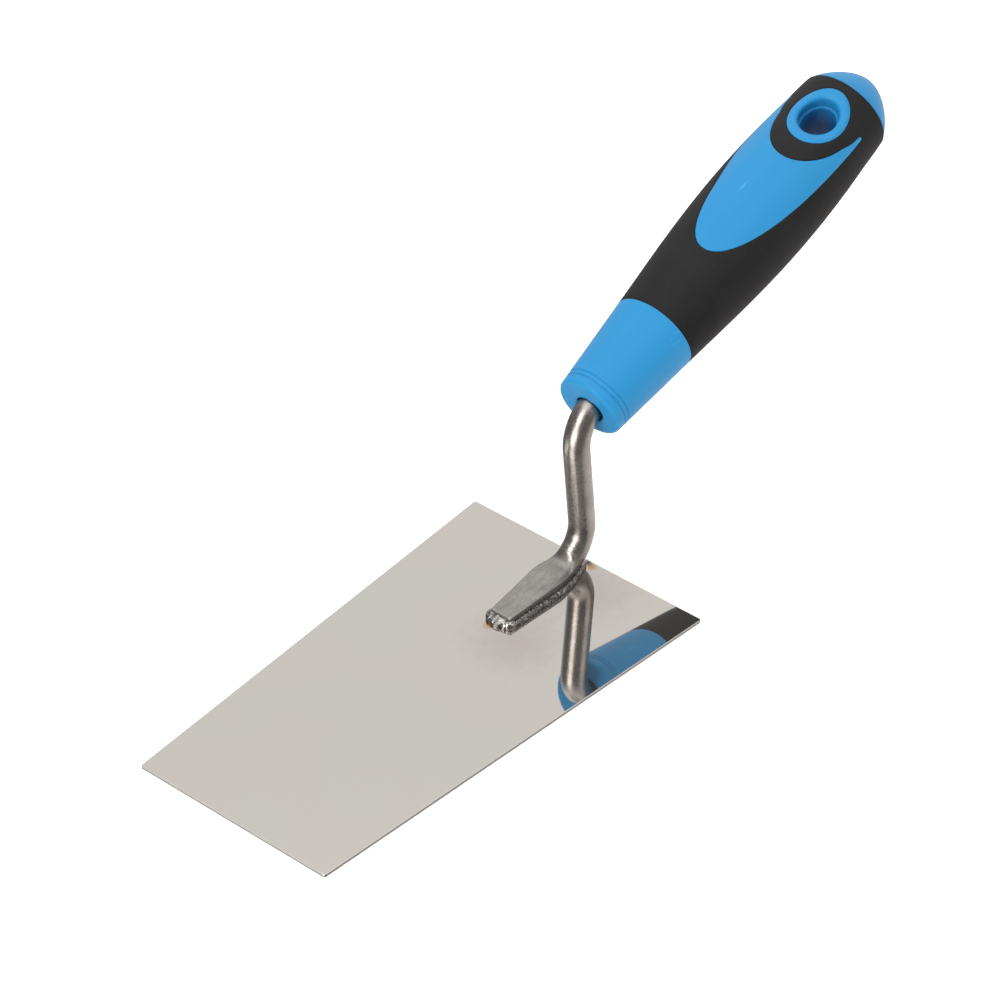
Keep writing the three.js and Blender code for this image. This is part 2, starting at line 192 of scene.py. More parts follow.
class Sheet:
    """A node tree that is being drawn up."""

    def __init__(self, tree: Tree) -> None:
        """Wraps a node tree."""
        self.tree = tree

    def node(self, kind: str, settings: dict | None = None, **sockets: object) -> Node:
        """Adds a node.

        Args:
            kind: the node's type name.
            settings: the node's own properties.
            sockets: values or output sockets for its inputs, by name with _ for a space, or in_N by place.

        Returns:
            The node.
        """
        node = self.tree.nodes.new(kind)
        for name, value in (settings or {}).items():
            setattr(node, name, value)
        for name, value in sockets.items():
            socket = node.inputs[int(name[3:]) if name.startswith("in_") else name.replace("_", " ")]
            if isinstance(value, Socket):
                self.feed(value, socket)
            else:
                socket.default_value = value
        return node

    def feed(self, value: Socket, sink: Socket) -> None:
        """Links a result to an input."""
        self.tree.links.new(value, sink)

    def maths(self, operation: str, *values: object) -> Socket:
        """Adds a Math node and returns its result."""
        sockets = {f"in_{place}": value for place, value in enumerate(values)}
        return self.node("ShaderNodeMath", {"operation": operation}, **sockets).outputs[0]

    def times(self, first: object, second: object) -> Socket:
        """Multiplies two numbers."""
        return self.maths("MULTIPLY", first, second)

    def times_plus(self, first: object, second: object, third: object) -> Socket:
        """Multiplies two numbers and adds a third."""
        return self.maths("MULTIPLY_ADD", first, second, third)

    def noise(self, vector: Socket, scale: object, detail: float, **more: object) -> Socket:
        """Adds fractal noise about 0.5 and returns it."""
        return self.node("ShaderNodeTexNoise", Vector=vector, Scale=scale, Detail=detail, **more).outputs[0]

    def ramp(self, value: object, low: object, high: float, ends: tuple[float, float] = (0.0, 1.0)) -> Socket:
        """Carries low..high smoothly to the two ends, and holds them beyond."""
        sockets = {"in_0": value, "in_1": low, "in_2": high, "in_3": ends[0], "in_4": ends[1]}
        return self.node("ShaderNodeMapRange", {"interpolation_type": "SMOOTHSTEP"}, **sockets).outputs[0]

    def clamp(self, value: Socket) -> Socket:
        """Holds a number between 0 and 1."""
        return self.node("ShaderNodeClamp", in_0=value).outputs[0]

    def blend(self, share: object, first: object, second: object) -> Socket:
        """Mixes two colours by a share from 0 to 1. A Mix node's colours are its sockets 6 and 7."""
        sockets = {"in_0": share, "in_6": opaque(first), "in_7": opaque(second)}
        return self.node("ShaderNodeMix", {"data_type": "RGBA"}, **sockets).outputs[2]

    def close(self, value: Socket) -> Tree:
        """Links a result to the group's output and returns the finished group."""
        self.feed(value, self.node("NodeGroupOutput").inputs[0])
        return self.tree


class Effects:
    """Surface effects shared by the finishes, each one node group that is made once."""

    FADE_OUT = (1.0, 0.0)

    def __init__(self) -> None:
        """Makes the groups."""
        self.materials: dict[str, Material] = {}
        self.grain = self.make_grain()
        self.scratches = self.make_scratches()
        self.cloud = self.make_cloud()
        self.wear = self.make_wear()
        self.halo = self.make_halo()

    @staticmethod
    def start(name: str, output: str, **inputs: float | None) -> tuple[Sheet | Socket, ...]:
        """Opens a group that has a Vector input first.

        Args:
            name: the group's name.
            output: its one output's name.
            inputs: its other inputs' first values, or None for a vector.

        Returns:
            The sheet to draw on, and the inputs' sockets in order.
        """
        tree = bpy.data.node_groups.new(name, "ShaderNodeTree")
        for socket_name, value in {"Vector": None, **inputs}.items():
            kind = "NodeSocketVector" if value is None else "NodeSocketFloat"
            socket = tree.interface.new_socket(socket_name, in_out="INPUT", socket_type=kind)
            if value is not None:
                socket.default_value = value
        tree.interface.new_socket(output, in_out="OUTPUT", socket_type="NodeSocketFloat")
        sheet = Sheet(tree)
        return sheet, *sheet.node("NodeGroupInput").outputs[: len(inputs) + 1]

    def make_grain(self) -> Tree:
        """Fine grain: two sizes of noise added together, as a height about 0.5."""
        sheet, place, scale, roughness = self.start("grain", "Height", Scale=2000.0, Roughness=0.6)
        fine = sheet.noise(place, scale, 3.0, Roughness=roughness)
        coarse = sheet.noise(place, sheet.times(scale, 0.23), 2.0)
        return sheet.close(sheet.times_plus(fine, 0.65, sheet.times(coarse, 0.35)))

    def make_scratches(self) -> Tree:
        """Sparse short scratches: the thin crests of warped noise, kept where a broader noise is high."""
        sheet, place, scale, amount = self.start("scratches", "Mask", Scale=300.0, Amount=0.3)
        lines = sheet.noise(place, scale, 2.0, Distortion=0.6)
        crest = sheet.maths("ABSOLUTE", sheet.maths("SUBTRACT", lines, 0.5))
        thin = sheet.ramp(crest, 0.0, 0.012, self.FADE_OUT)
        patches = sheet.noise(place, sheet.times(scale, 0.35), 1.0)
        limit = sheet.maths("SUBTRACT", 0.72, sheet.times(amount, 0.4))
        return sheet.close(sheet.times(thin, sheet.maths("GREATER_THAN", patches, limit)))

    def make_cloud(self) -> Tree:
        """Broad soft clouding: low noise, spread to fill 0 to 1."""
        sheet, place, scale, contrast = self.start("clouding", "Mask", Scale=20.0, Contrast=1.0)
        noise = sheet.noise(place, scale, 3.0, Roughness=0.45)
        spread = sheet.times(sheet.maths("SUBTRACT", noise, 0.5), contrast)
        return sheet.close(sheet.clamp(sheet.times_plus(spread, 2.5, 0.5)))

    def make_wear(self) -> Tree:
        """Rubbed edges: where the surface is a convex edge, broken up by noise."""
        sheet, place, scale, reach = self.start("edge_wear", "Mask", Scale=700.0, Reach=0.06)
        pointed = sheet.node("ShaderNodeNewGeometry").outputs["Pointiness"]
        edge = sheet.ramp(pointed, sheet.maths("SUBTRACT", 0.6, reach), 0.62)
        return sheet.close(sheet.times(edge, sheet.ramp(sheet.noise(place, scale, 3.0), 0.35, 0.65)))

    def make_halo(self) -> Tree:
        """A soft-edged spot with a ragged outline, 1 at its centre and 0 at Radius."""
        inputs = {"Centre": None, "Radius": 0.01, "Ragged": 0.3}
        sheet, place, centre, radius, ragged = self.start("halo", "Mask", **inputs)
        away = sheet.node("ShaderNodeVectorMath", {"operation": "DISTANCE"}, in_0=place, in_1=centre)
        share = sheet.maths("DIVIDE", away.outputs["Value"], radius)
        push = sheet.times(sheet.maths("SUBTRACT", sheet.noise(place, 350.0, 2.0), 0.5), ragged)
        return sheet.close(sheet.ramp(sheet.maths("ADD", share, push), 0.0, 1.0, self.FADE_OUT))


@dataclass(frozen=True)
class Spot:
    """A soft patch of colour with a ragged outline, used for real stains and for painted shade: its place and
    radius in metres, its colour and its strength.
    """

    centre: Triple
    radius: float
    colour: Triple
    ragged: float = 0.7
    share: float = 1.0


class Paint(Sheet):
    """A material's node tree, with its shader, its coordinates and the shared effects at hand."""

    def __init__(self, tree: Tree, effects: Effects) -> None:
        """Wraps a material's tree."""
        super().__init__(tree)
        self.effects = effects
        self.shader = tree.nodes["Principled BSDF"]
        self.place = self.node("ShaderNodeTexCoord").outputs["Object"]

    def effect(self, group: Tree, **sockets: object) -> Socket:
        """Places a shared effect, at the object's own coordinates unless Vector is given."""
        sockets.setdefault("Vector", self.place)
        return self.node("ShaderNodeGroup", {"node_tree": group}, **sockets).outputs[0]

    def grain(self, scale: float, roughness: float, stretch: float = 1.0) -> Socket:
        """Places the grain, drawn out along Y where stretch is under 1."""
        vector = self.node("ShaderNodeMapping", Vector=self.place, Scale=(1.0, stretch, 1.0)).outputs[0]
        return self.effect(self.effects.grain, Vector=vector, Scale=scale, Roughness=roughness)

    def cloud(self, scale: float, contrast: float = 1.0) -> Socket:
        """Places the clouding."""
        return self.effect(self.effects.cloud, Scale=scale, Contrast=contrast)

    def scratches(self, scale: float, amount: float) -> Socket:
        """Places the scratches."""
        return self.effect(self.effects.scratches, Scale=scale, Amount=amount)

    def wear(self, scale: float, reach: float) -> Socket:
        """Places the rubbed edges."""
        return self.effect(self.effects.wear, Scale=scale, Reach=reach)

    def height(self) -> Socket:
        """The height above the blade's underside, in metres."""
        return self.node("ShaderNodeSeparateXYZ", in_0=self.place).outputs[2]

    def stain(self, colour: object, stain: Triple, mask: Socket, share: float) -> Socket:
        """Lays a colour on a colour where a mask is, at a share of its strength: stains, and through spot also
        painted shade.
        """
        return self.blend(self.times(mask, share), colour, stain)

    def spot(self, colour: object, spot: Spot) -> Socket:
        """Lays a spot on a colour."""
        halo = {"Centre": spot.centre, "Radius": spot.radius, "Ragged": spot.ragged}
        return self.stain(colour, spot.colour, self.effect(self.effects.halo, **halo), spot.share)

    def finish(self, colour: Socket, rough: Socket, relief: Socket, depth: float) -> None:
        """Feeds the shader.

        Args:
            colour: its base colour.
            rough: its roughness.
            relief: the bumps' height, in shares of depth.
            depth: the full bumps' height in metres.
        """
        self.feed(colour, self.shader.inputs["Base Color"])
        self.feed(rough, self.shader.inputs["Roughness"])
        bump = self.node("ShaderNodeBump", Strength=1.0, Distance=depth, Height=relief)
        self.feed(bump.outputs[0], self.shader.inputs["Normal"])


@dataclass(frozen=True)
class Finish:
    """What every finish has: a name, and the constants of its shader."""

    name: str
    base: Triple
    roughness: float
    metallic: float = 0.0
    specular: float = 0.5

    def make(self, effects: Effects) -> Material:
        """Makes the material, once for all the pieces that wear it.

        Args:
            effects: the shared surface effects.

        Returns:
            The material.
        """
        if self.name not in effects.materials:
            material = bpy.data.materials.new(self.name)
            material.use_nodes = True
            effects.materials[self.name] = material
            paint = Paint(material.node_tree, effects)
            paint.shader.inputs["Metallic"].default_value = self.metallic
            paint.shader.inputs["Specular IOR Level"].default_value = self.specular
            paint.shader.inputs["Base Color"].default_value = opaque(self.base)
            paint.shader.inputs["Roughness"].default_value = self.roughness
            self.draw(paint)
        return effects.materials[self.name]

    def draw(self, paint: Paint) -> None:
        """Draws what feeds the shader. Each finish has its own."""
        raise NotImplementedError


HEAT_TINT = (0.42, 0.25, 0.11)
# Colour of two broad, ragged patches laid on the blade round the foot, darker and pinker than the steel.
PINKISH_GREY = (0.42, 0.375, 0.36)
# Painted shade: near-black colour laid on the blade in the gap under the rod's rise at the bead's heel end.
HEEL_GAP_SHADE = (0.03, 0.028, 0.027)


@dataclass(frozen=True)
class MirrorSteel(Finish):
    """Polished stainless sheet with faint warm and cool clouding and heat tint beside the weld."""

    cool: Triple = (0.485, 0.482, 0.46)
    # painted shade: the colour laid on the lower part of the blade's cut sides, where the edge meets the floor
    edge_shade: Triple = (0.15, 0.145, 0.14)
    edge_shade_from: tuple[float, float] = (0.00003, 0.0001)
    edge_shade_to: tuple[float, float] = (0.0005, 0.0007)
    wave_depth: float = 0.000012
    spots: tuple[Spot, ...] = (
        # two broad, ragged, darker pinkish-grey patches round the foot
        Spot((0.009, 0.033, 0.001), 0.021, PINKISH_GREY, 0.5, 0.75),
        Spot((0.010, 0.064, 0.001), 0.021, PINKISH_GREY, 0.5, 0.75),
        Spot((-0.0014, 0.0335, 0.001), 0.0027, HEAT_TINT),
        Spot((0.0034, 0.0730, 0.001), 0.0024, HEAT_TINT),
        # painted shade in the gap under the rod's rise at the heel end of the bead
        Spot((0.0016, 0.0738, 0.001), 0.0024, HEEL_GAP_SHADE),
    )

    def draw(self, paint: Paint) -> None:
        """Clouding, the spots, and painted shade: a darker band along the lower part of the cut sides."""
        cloud = paint.cloud(26.0)
        colour = paint.blend(cloud, self.base, self.cool)
        for spot in self.spots:
            colour = paint.spot(colour, spot)
        # painted shade: the cut sides are darkened between these heights, standing in for the shade where the
        # blade meets the floor
        height = paint.height()
        above = paint.ramp(height, *self.edge_shade_from)
        below = paint.ramp(height, *self.edge_shade_to, Effects.FADE_OUT)
        colour = paint.blend(paint.times(above, below), colour, self.edge_shade)
        rough = paint.times_plus(paint.grain(1600.0, 0.6, stretch=0.06), 0.02, self.roughness - 0.01)
        rough = paint.times_plus(cloud, 0.012, rough)
        rough = paint.times_plus(paint.scratches(60.0, 0.25), 0.05, rough)
        paint.finish(colour, rough, paint.noise(paint.place, 22.0, 1.0), self.wave_depth)


@dataclass(frozen=True)
class SatinSteel(Finish):
    """Drawn and pressed rod steel: satin, with fine grain, dark specks and rubbed scratches."""

    dark: Triple = (0.16, 0.15, 0.14)
    rubbed: Triple = (0.8, 0.78, 0.75)
    foot: Triple = (0.305, 0.29, 0.277)
    foot_dark: Triple = (0.19, 0.18, 0.17)
    foot_top: tuple[float, float] = (0.0055, 0.0095)
    grain_depth: float = 0.00006

    def draw(self, paint: Paint) -> None:
        """A duller, streaked foot below foot_top, then clouding, specks, marks and rubbed edges."""
        grain = paint.grain(1500.0, 0.65)
        cloud = paint.cloud(160.0)
        pressed = paint.ramp(paint.height(), *self.foot_top, Effects.FADE_OUT)
        streaks = paint.ramp(paint.grain(2000.0, 0.75, stretch=0.22), 0.3, 0.6)
        colour = paint.blend(pressed, self.base, paint.blend(streaks, self.foot_dark, self.foot))
        colour = paint.stain(colour, self.dark, cloud, 0.35)
        colour = paint.blend(paint.ramp(grain, 0.34, 0.47, (0.5, 0.0)), colour, self.dark)
        colour = paint.stain(colour, self.dark, paint.scratches(420.0, 0.45), 0.5)
        colour = paint.stain(colour, self.rubbed, paint.wear(900.0, 0.05), 0.6)
        rough = paint.times_plus(grain, 0.25, self.roughness - 0.12)
        rough = paint.times_plus(pressed, 0.1, rough)
        paint.finish(colour, paint.times_plus(cloud, 0.08, rough), grain, self.grain_depth)


@dataclass(frozen=True)
class WeldMetal(Finish):
    """Weld metal: dark scale in the hollows, bright glitter on the ripples' crests."""

    scale_colour: Triple = (0.045, 0.043, 0.042)
    lump_scale: float = 1500.0
    lump_depth: float = 0.00008

    def draw(self, paint: Paint) -> None:
        """Bright smooth lumps in dark rough scale."""
        grain = paint.grain(900.0, 0.7)
        lumps = paint.cloud(self.lump_scale, 1.2)
        bright = paint.clamp(paint.maths("ADD", paint.times(lumps, 0.6), paint.wear(800.0, 0.09)))
        rough = paint.times_plus(lumps, -0.25, self.roughness + 0.1)
        relief = paint.times_plus(lumps, 1.2, grain)
        paint.finish(paint.blend(bright, self.scale_colour, self.base), rough, relief, self.lump_depth)


@dataclass(frozen=True)
class MouldedPlastic(Finish):
    """Satin moulded plastic: even colour, a very fine moulded grain, and pale scuffs on its edges."""

    pale: Triple = (0.12, 0.47, 0.80)
    deep: Triple = (0.012, 0.24, 0.60)
    grain_depth: float = 0.000012
    # painted shade: a dark blue spot round the hanging hole's centre darkens the bore and ring
    bore_shade: Spot = Spot((-0.00284, 0.18268, 0.09064), 0.0135, (0.004, 0.03, 0.10), 0.1)

    def draw(self, paint: Paint) -> None:
        """Clouding, worn edges, scuffs, and painted shade inside the hanging hole."""
        grain = paint.grain(2600.0, 0.55)
        colour = paint.stain(self.base, self.deep, paint.cloud(45.0), 0.12)
        colour = paint.stain(colour, self.pale, paint.wear(1100.0, 0.05), 0.35)
        colour = paint.stain(colour, self.pale, paint.scratches(130.0, 0.1), 0.35)
        rough = paint.times_plus(grain, 0.12, self.roughness - 0.06)
        # the spot lays painted shade inside the hanging hole
        paint.finish(paint.spot(colour, self.bore_shade), rough, grain, self.grain_depth)


@dataclass(frozen=True)
class SoftRubber(Finish):
    """Matt overmoulded rubber: fine pebble grain, a trace of dust and rubbed, slightly shiny edges."""

    dust: Triple = (0.0245, 0.0245, 0.0255)
    grain_depth: float = 0.00004

    def draw(self, paint: Paint) -> None:
        """Dust in patches and on the grain's tops, smoother where an edge is rubbed."""
        grain = paint.grain(3000.0, 0.7)
        colour = paint.stain(self.base, self.dust, paint.cloud(70.0), 0.25)
        colour = paint.stain(colour, self.dust, paint.ramp(grain, 0.45, 0.7), 0.3)
        rough = paint.times_plus(grain, 0.2, self.roughness - 0.1)
        paint.finish(colour, paint.times_plus(paint.wear(900.0, 0.05), -0.15, rough), grain, self.grain_depth)


@dataclass(frozen=True)
class PaleFloor(Finish):
    """A plain pale studio floor with a trace of unevenness, lit a little from beneath."""

    glow: float = 0.3
    darkest: float = 0.99

    def draw(self, paint: Paint) -> None:
        """Faint clouding and a plain glow."""
        shade = tuple(channel * self.darkest for channel in self.base)
        paint.feed(paint.blend(paint.cloud(3.0, 0.6), self.base, shade), paint.shader.inputs["Base Color"])
        paint.shader.inputs["Emission Color"].default_value = opaque(self.base)
        paint.shader.inputs["Emission Strength"].default_value = self.glow


# ---------------------------------------------------------------- parts


@dataclass(frozen=True)
class Seat:
    """A sub-assembly's own frame inside the object's frame, in millimetres."""

    turn: np.ndarray
    shift: np.ndarray

    def place(self, points: np.ndarray) -> np.ndarray:
        """Carries points of shape (..., 3) into the object's frame, in metres."""
        return (points @ self.turn.T + self.shift) * MM


@dataclass(frozen=True)
class Role:
    """A piece's name, its CAD node and slot, and the degrees past which its edges stay crisp."""

    name: str
    node: str
    slot: Slot
    crease: float


def settle(piece: bpy.types.Object, node: str, material: bpy.types.Material) -> None:
    """Dresses a piece, hides the CAD node that it stands in for and lets it ride on the tool's one body.

    Args:
        piece: the finished mesh object.
        node: the CAD node that it stands for.
        material: its finish.
    """
    piece.data.materials.append(material)
    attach(piece, BodyName.ROOT.value)
    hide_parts(node)


class Part:
    """A piece of the tool: grids of points that close into one skin, a role and a finish."""

    role: Role
    finish: Finish

    def seat(self) -> Seat:
        """The frame that the grids are given in."""
        return Seat(np.eye(3), np.zeros(3))

    def grids(self) -> list[Grid]:
        """Points of shape (rows, columns, 3), each with whether its last column joins its first."""
        raise NotImplementedError

    def build(self, effects: Effects) -> Piece:
        """Joins the grids into a mesh object with no seams and its faces outward, and settles it.

        Args:
            effects: the shared surface effects.

        Returns:
            The new object.
        """
        places, faces, count = [], [], 0
        for grid, around in self.grids():
            places.append(self.seat().place(grid).reshape(-1, 3))
            index = np.arange(len(places[-1])).reshape(grid.shape[:2]) + count
            faces.append(quads(np.concatenate([index, index[:, :1]], axis=1) if around else index))
            count += index.size
        mesh = bpy.data.meshes.new(self.role.name)
        mesh.from_pydata(np.concatenate(places).tolist(), [], np.concatenate(faces).tolist())
        shape = bmesh.new()
        shape.from_mesh(mesh)
        bmesh.ops.remove_doubles(shape, verts=shape.verts, dist=WELD_DISTANCE)
        bmesh.ops.recalc_face_normals(shape, faces=shape.faces)
        open_edges = sum(not edge.is_manifold for edge in shape.edges)
        triangles = sum(len(face.verts) - 2 for face in shape.faces)
        shape.to_mesh(mesh)
        shape.free()
        mesh.shade_smooth()
        mesh.set_sharp_from_angle(angle=math.radians(self.role.crease))
        piece = new_object(self.role.name, mesh)
        log.info("%s: %d triangles, %d open edges", piece.name, triangles, open_edges)
        settle(piece, self.role.node, self.finish.make(effects))
        return piece


@dataclass
class Blade(Part):
    """The flat blade, a sheet that narrows from its heel to its toe. Its length, widths and thickness come
    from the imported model's own node, except the toe's width."""

    toe_width: float = 68.5
    corner_radius: float = 0.8
    edge_radius: float = 0.14
    corner_points: int = 7
    side_points: int = 24
    finish: Finish = MirrorSteel("mirror_steel", (0.505, 0.475, 0.448), 0.02, 0.95)
    role: ClassVar[Role] = Role("blade_sheet", "blade", Slot.BLADE, 40)

    def outline(self) -> np.ndarray:
        """The plan: straight edges, with a quarter circle's worth of arc at each corner.

        Returns:
            Points of shape (columns, 2), counterclockwise seen from above.
        """
        low, high = (np.array(corner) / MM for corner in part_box(self.role.node))
        toe = self.toe_width / 2
        corners = np.array([[high[0], high[1]], [low[0], high[1]], [-toe, low[1]], [toe, low[1]]])
        before = np.roll(corners, 1, axis=0) - corners
        after = np.roll(corners, -1, axis=0) - corners
        before *= self.corner_radius / np.linalg.norm(before, axis=1, keepdims=True)
        after *= self.corner_radius / np.linalg.norm(after, axis=1, keepdims=True)
        t = np.linspace(0, 1, self.corner_points)[None, :, None]
        arcs = corners[:, None] + before[:, None] * (1 - t) ** 2 + after[:, None] * t**2
        ends = np.roll(arcs[:, 0], -1, axis=0)
        share = np.linspace(0, 1, self.side_points + 2)[None, 1:-1, None]
        sides = arcs[:, -1][:, None] * (1 - share) + ends[:, None] * share
        return np.concatenate([arcs, sides], axis=1).reshape(-1, 2)

    def grids(self) -> list[Grid]:
        """The outline over rounded edges, then drawn in to the middle, above and below."""
        outline = self.outline()
        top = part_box(self.role.node)[1][2] / MM
        angle = np.linspace(0, math.pi / 2, 5)[:, None, None]
        along = np.roll(outline, -1, axis=0) - np.roll(outline, 1, axis=0)
        outward = np.stack([along[:, 1], -along[:, 0]], axis=-1)
        outward /= np.linalg.norm(outward, axis=1, keepdims=True)
        edge = outline - outward * self.edge_radius * (1 - np.cos(angle))
        height = top - self.edge_radius * (1 - np.sin(angle))
        edge = np.concatenate([edge, np.broadcast_to(height, (*edge.shape[:2], 1))], axis=-1)
        share_in = np.concatenate([[0.9985, 0.995], np.linspace(0.98, 0, 20)])[:, None, None]
        middle = edge[-1] * share_in
        middle[..., 2] = top
        upper = np.concatenate([edge, middle])
        lower = upper[::-1] * [1, 1, -1] + [0, 0, top]
        return [(np.concatenate([lower, upper]), True)]


@dataclass
class RodLine:
    """The rod's centreline: foot, lower bend, leaning neck, upper bend and shank, in the rod's own plane."""

    foot_reach: float = 38.4
    foot_floor: float = 1.3
    foot_toe_height: float = 2.9
    foot_heel_height: float = 4.0
    lower_bend_radius: float = 11.2
    upper_bend_radius: float = 12.2
    neck_overhang: float = 0.7
    neck_lean: float = 5.9
    neck_height: float = 51.8
    shank_length: float = 72.0
    handle_pitch: float = 19.07
    handle_roll: float = 14.0
    yaw: float = 0.89
    bend_inside_mouth: float = 3.2

    def __post_init__(self) -> None:
        """Works out the corners of the centreline and where the handle starts."""
        self.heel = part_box("blade")[1][1] / MM
        pitch, lean = math.radians(self.handle_pitch), math.radians(self.neck_lean)
        self.shank_way = np.array([math.cos(pitch), math.sin(pitch)])
        neck_way = np.array([-math.sin(lean), math.cos(lean)])
        neck_foot = np.array([self.heel + self.neck_overhang, 0.0])
        self.upper_corner = neck_foot + neck_way * self.neck_height / neck_way[1]
        heel_centre = self.foot_floor + self.foot_heel_height / 2
        self.lower_corner = neck_foot + neck_way * heel_centre / neck_way[1]
        self.toe = np.array([self.heel - self.foot_reach, self.foot_floor + self.foot_toe_height / 2])
        turn = math.pi / 2 + lean - pitch
        setback = self.upper_bend_radius * math.tan(turn / 2) - self.bend_inside_mouth
        self.face_centre = self.upper_corner + self.shank_way * setback

    def rod_seat(self) -> Seat:
        """The frame of the rod's own plane, turned by its yaw on the blade."""
        return Seat(turn_about(Axis.Z, self.yaw), np.zeros(3))

    def handle_seat(self) -> Seat:
        """The frame of the handle: +Y along it from its front face, its hole along its own Z."""
        yaw = turn_about(Axis.Z, self.yaw)
        turn = yaw @ turn_about(Axis.X, self.handle_pitch) @ turn_about(Axis.Y, self.handle_roll)
        return Seat(turn, yaw @ np.array([0, *self.face_centre]))

    def stations(self, spacing: float) -> tuple[np.ndarray, np.ndarray, np.ndarray]:
        """Samples the centreline: straight runs joined by circular arcs.

        Args:
            spacing: about how far apart the samples are.

        Returns:
            The places (n, 2), the directions (n, 2) and the distances run (n).
        """
        end = self.face_centre + self.shank_way * self.shank_length
        start = self.toe
        bends = (
            (self.lower_corner, self.upper_corner, self.lower_bend_radius),
            (self.upper_corner, end, self.upper_bend_radius),
        )
        runs: list[np.ndarray] = []
        for corner, after_corner, radius in bends:
            way_in = (corner - start) / np.linalg.norm(corner - start)
            way_out = (after_corner - corner) / np.linalg.norm(after_corner - corner)
            turn = math.atan2(way_in[0] * way_out[1] - way_in[1] * way_out[0], way_in @ way_out)
            setback = radius * math.tan(abs(turn) / 2)
            first = corner - way_in * setback
            count = max(2, round(np.linalg.norm(first - start) / spacing))
            runs.append(start + (first - start) * np.linspace(0, 1, count, endpoint=False)[:, None])
            inward = np.array([-way_in[1], way_in[0]]) * math.copysign(1, turn)
            count = max(2, round(radius * abs(turn) / spacing))
            angle = np.linspace(0, abs(turn), count, endpoint=False)[:, None]
            runs.append(first + radius * (way_in * np.sin(angle) + inward * (1 - np.cos(angle))))
            start = corner + way_out * setback
        count = round(np.linalg.norm(end - start) / spacing)
        runs.append(start + (end - start) * np.linspace(0, 1, count)[:, None])
        places = np.concatenate(runs)
        ways = np.gradient(places, axis=0)
        ways /= np.linalg.norm(ways, axis=1, keepdims=True)
        steps = np.linalg.norm(np.diff(places, axis=0), axis=1)
        return places, ways, np.concatenate([[0], np.cumsum(steps)])

    def foot_length(self) -> float:
        """The length of the straight run of the foot."""
        way_in = self.lower_corner - self.toe
        turn = math.pi / 2 + math.radians(self.neck_lean) - math.atan2(way_in[1], way_in[0])
        return float(np.linalg.norm(way_in)) - self.lower_bend_radius * math.tan(turn / 2)


@dataclass
class NeckRod(Part):
    """The bent rod, with its foot pressed flat on the blade."""

    line: RodLine
    diameter: float = 8.0
    toe_width: float = 7.5
    toe_shift: float = 0.75
    heel_width: float = 11.4
    squareness: float = 9.0
    press_lead: float = 6.0
    press_fade: float = 6.5
    seam_sink: float = 0.34
    crease_height: float = 0.16
    crease_after: float = 8.4
    crease_width: float = 0.8
    dent_spacing: float = 7.0
    dent_depth: float = 0.05
    least_rise: float = 0.05
    sides: int = 72
    spacing: float = 0.62
    finish: Finish = SatinSteel("satin_rod_steel", (0.40, 0.372, 0.35), 0.23, 1.0)
    role: ClassVar[Role] = Role("neck_rod_bar", "neck_rod", Slot.ROD, 60)
    CAP_SHRINK: ClassVar[np.ndarray] = np.array([0.0, 0.35, 0.7, 0.86, 0.94, 0.98])[:, None, None]
    CAP_BULGE: ClassVar[np.ndarray] = np.array([0.42, 0.42, 0.4, 0.31, 0.2, 0.09])[:, None, None]

    def seat(self) -> Seat:
        """The rod's own plane."""
        return self.line.rod_seat()

    def grids(self) -> list[Grid]:
        """Carries a superellipse along the centreline. Its sizes and exponent fade from the pressed foot's
        to the round rod's, a low crease stands across the inside of the lower bend, and both ends close over
        a small rounded edge."""
        line = self.line
        places, ways, run = line.stations(self.spacing)
        foot = line.foot_length()
        pressed = 1 - smooth_step(run, foot - self.press_lead, foot + self.press_fade)
        reached = np.clip(run / foot, 0, 1)
        width = self.toe_width + (self.heel_width - self.toe_width) * reached
        height = line.foot_toe_height + (line.foot_heel_height - line.foot_toe_height) * reached
        radius = self.diameter / 2
        half_width, half_height = (radius + (size / 2 - radius) * pressed for size in (width, height))
        room = (places[:, 1] - line.foot_floor) / np.maximum(ways[:, 0], self.least_rise)
        half_height = np.where(ways[:, 0] > self.least_rise, np.minimum(half_height, room), half_height)
        power = (2 + (self.squareness - 2) * pressed)[:, None]
        angle = np.linspace(0, math.tau, self.sides, endpoint=False)
        across = half_width[:, None] * superellipse(np.cos(angle), power) + self.shift(reached)[:, None]
        up = half_height[:, None] * superellipse(np.sin(angle), power)
        sink = 1 + pressed * self.seam_sink / half_height
        up = np.where(up < 0, up * sink[:, None], up)
        crease = np.exp(-(((run - foot - self.crease_after) / self.crease_width) ** 2))
        up += self.crease_height * crease[:, None] * np.clip(np.sin(angle), 0, 1) ** 2
        grid = np.stack([across, places[:, :1] - up * ways[:, 1:], places[:, 1:] + up * ways[:, :1]], axis=-1)
        dents = lump_field(grid, self.dent_spacing, 3) * self.dent_depth * pressed[:, None]
        grid[..., 2] += np.where(grid[..., 2] > line.foot_floor + 1, dents, 0)
        front, back = self.cap(grid[0], -ways[0]), self.cap(grid[-1], ways[-1])[::-1]
        return [(np.concatenate([front, grid, back]), True)]

    def shift(self, reached: np.ndarray) -> np.ndarray:
        """How far the foot's middle lies to the right, at shares of the way from its toe to its heel."""
        return self.toe_shift * (1 - reached)

    def cap(self, ring: np.ndarray, way: np.ndarray) -> np.ndarray:
        """Closes an end: shrinks its ring towards its middle while it moves along the way."""
        middle = ring.mean(axis=0)
        return middle + (ring - middle) * self.CAP_SHRINK + np.array([0, *way]) * self.CAP_BULGE


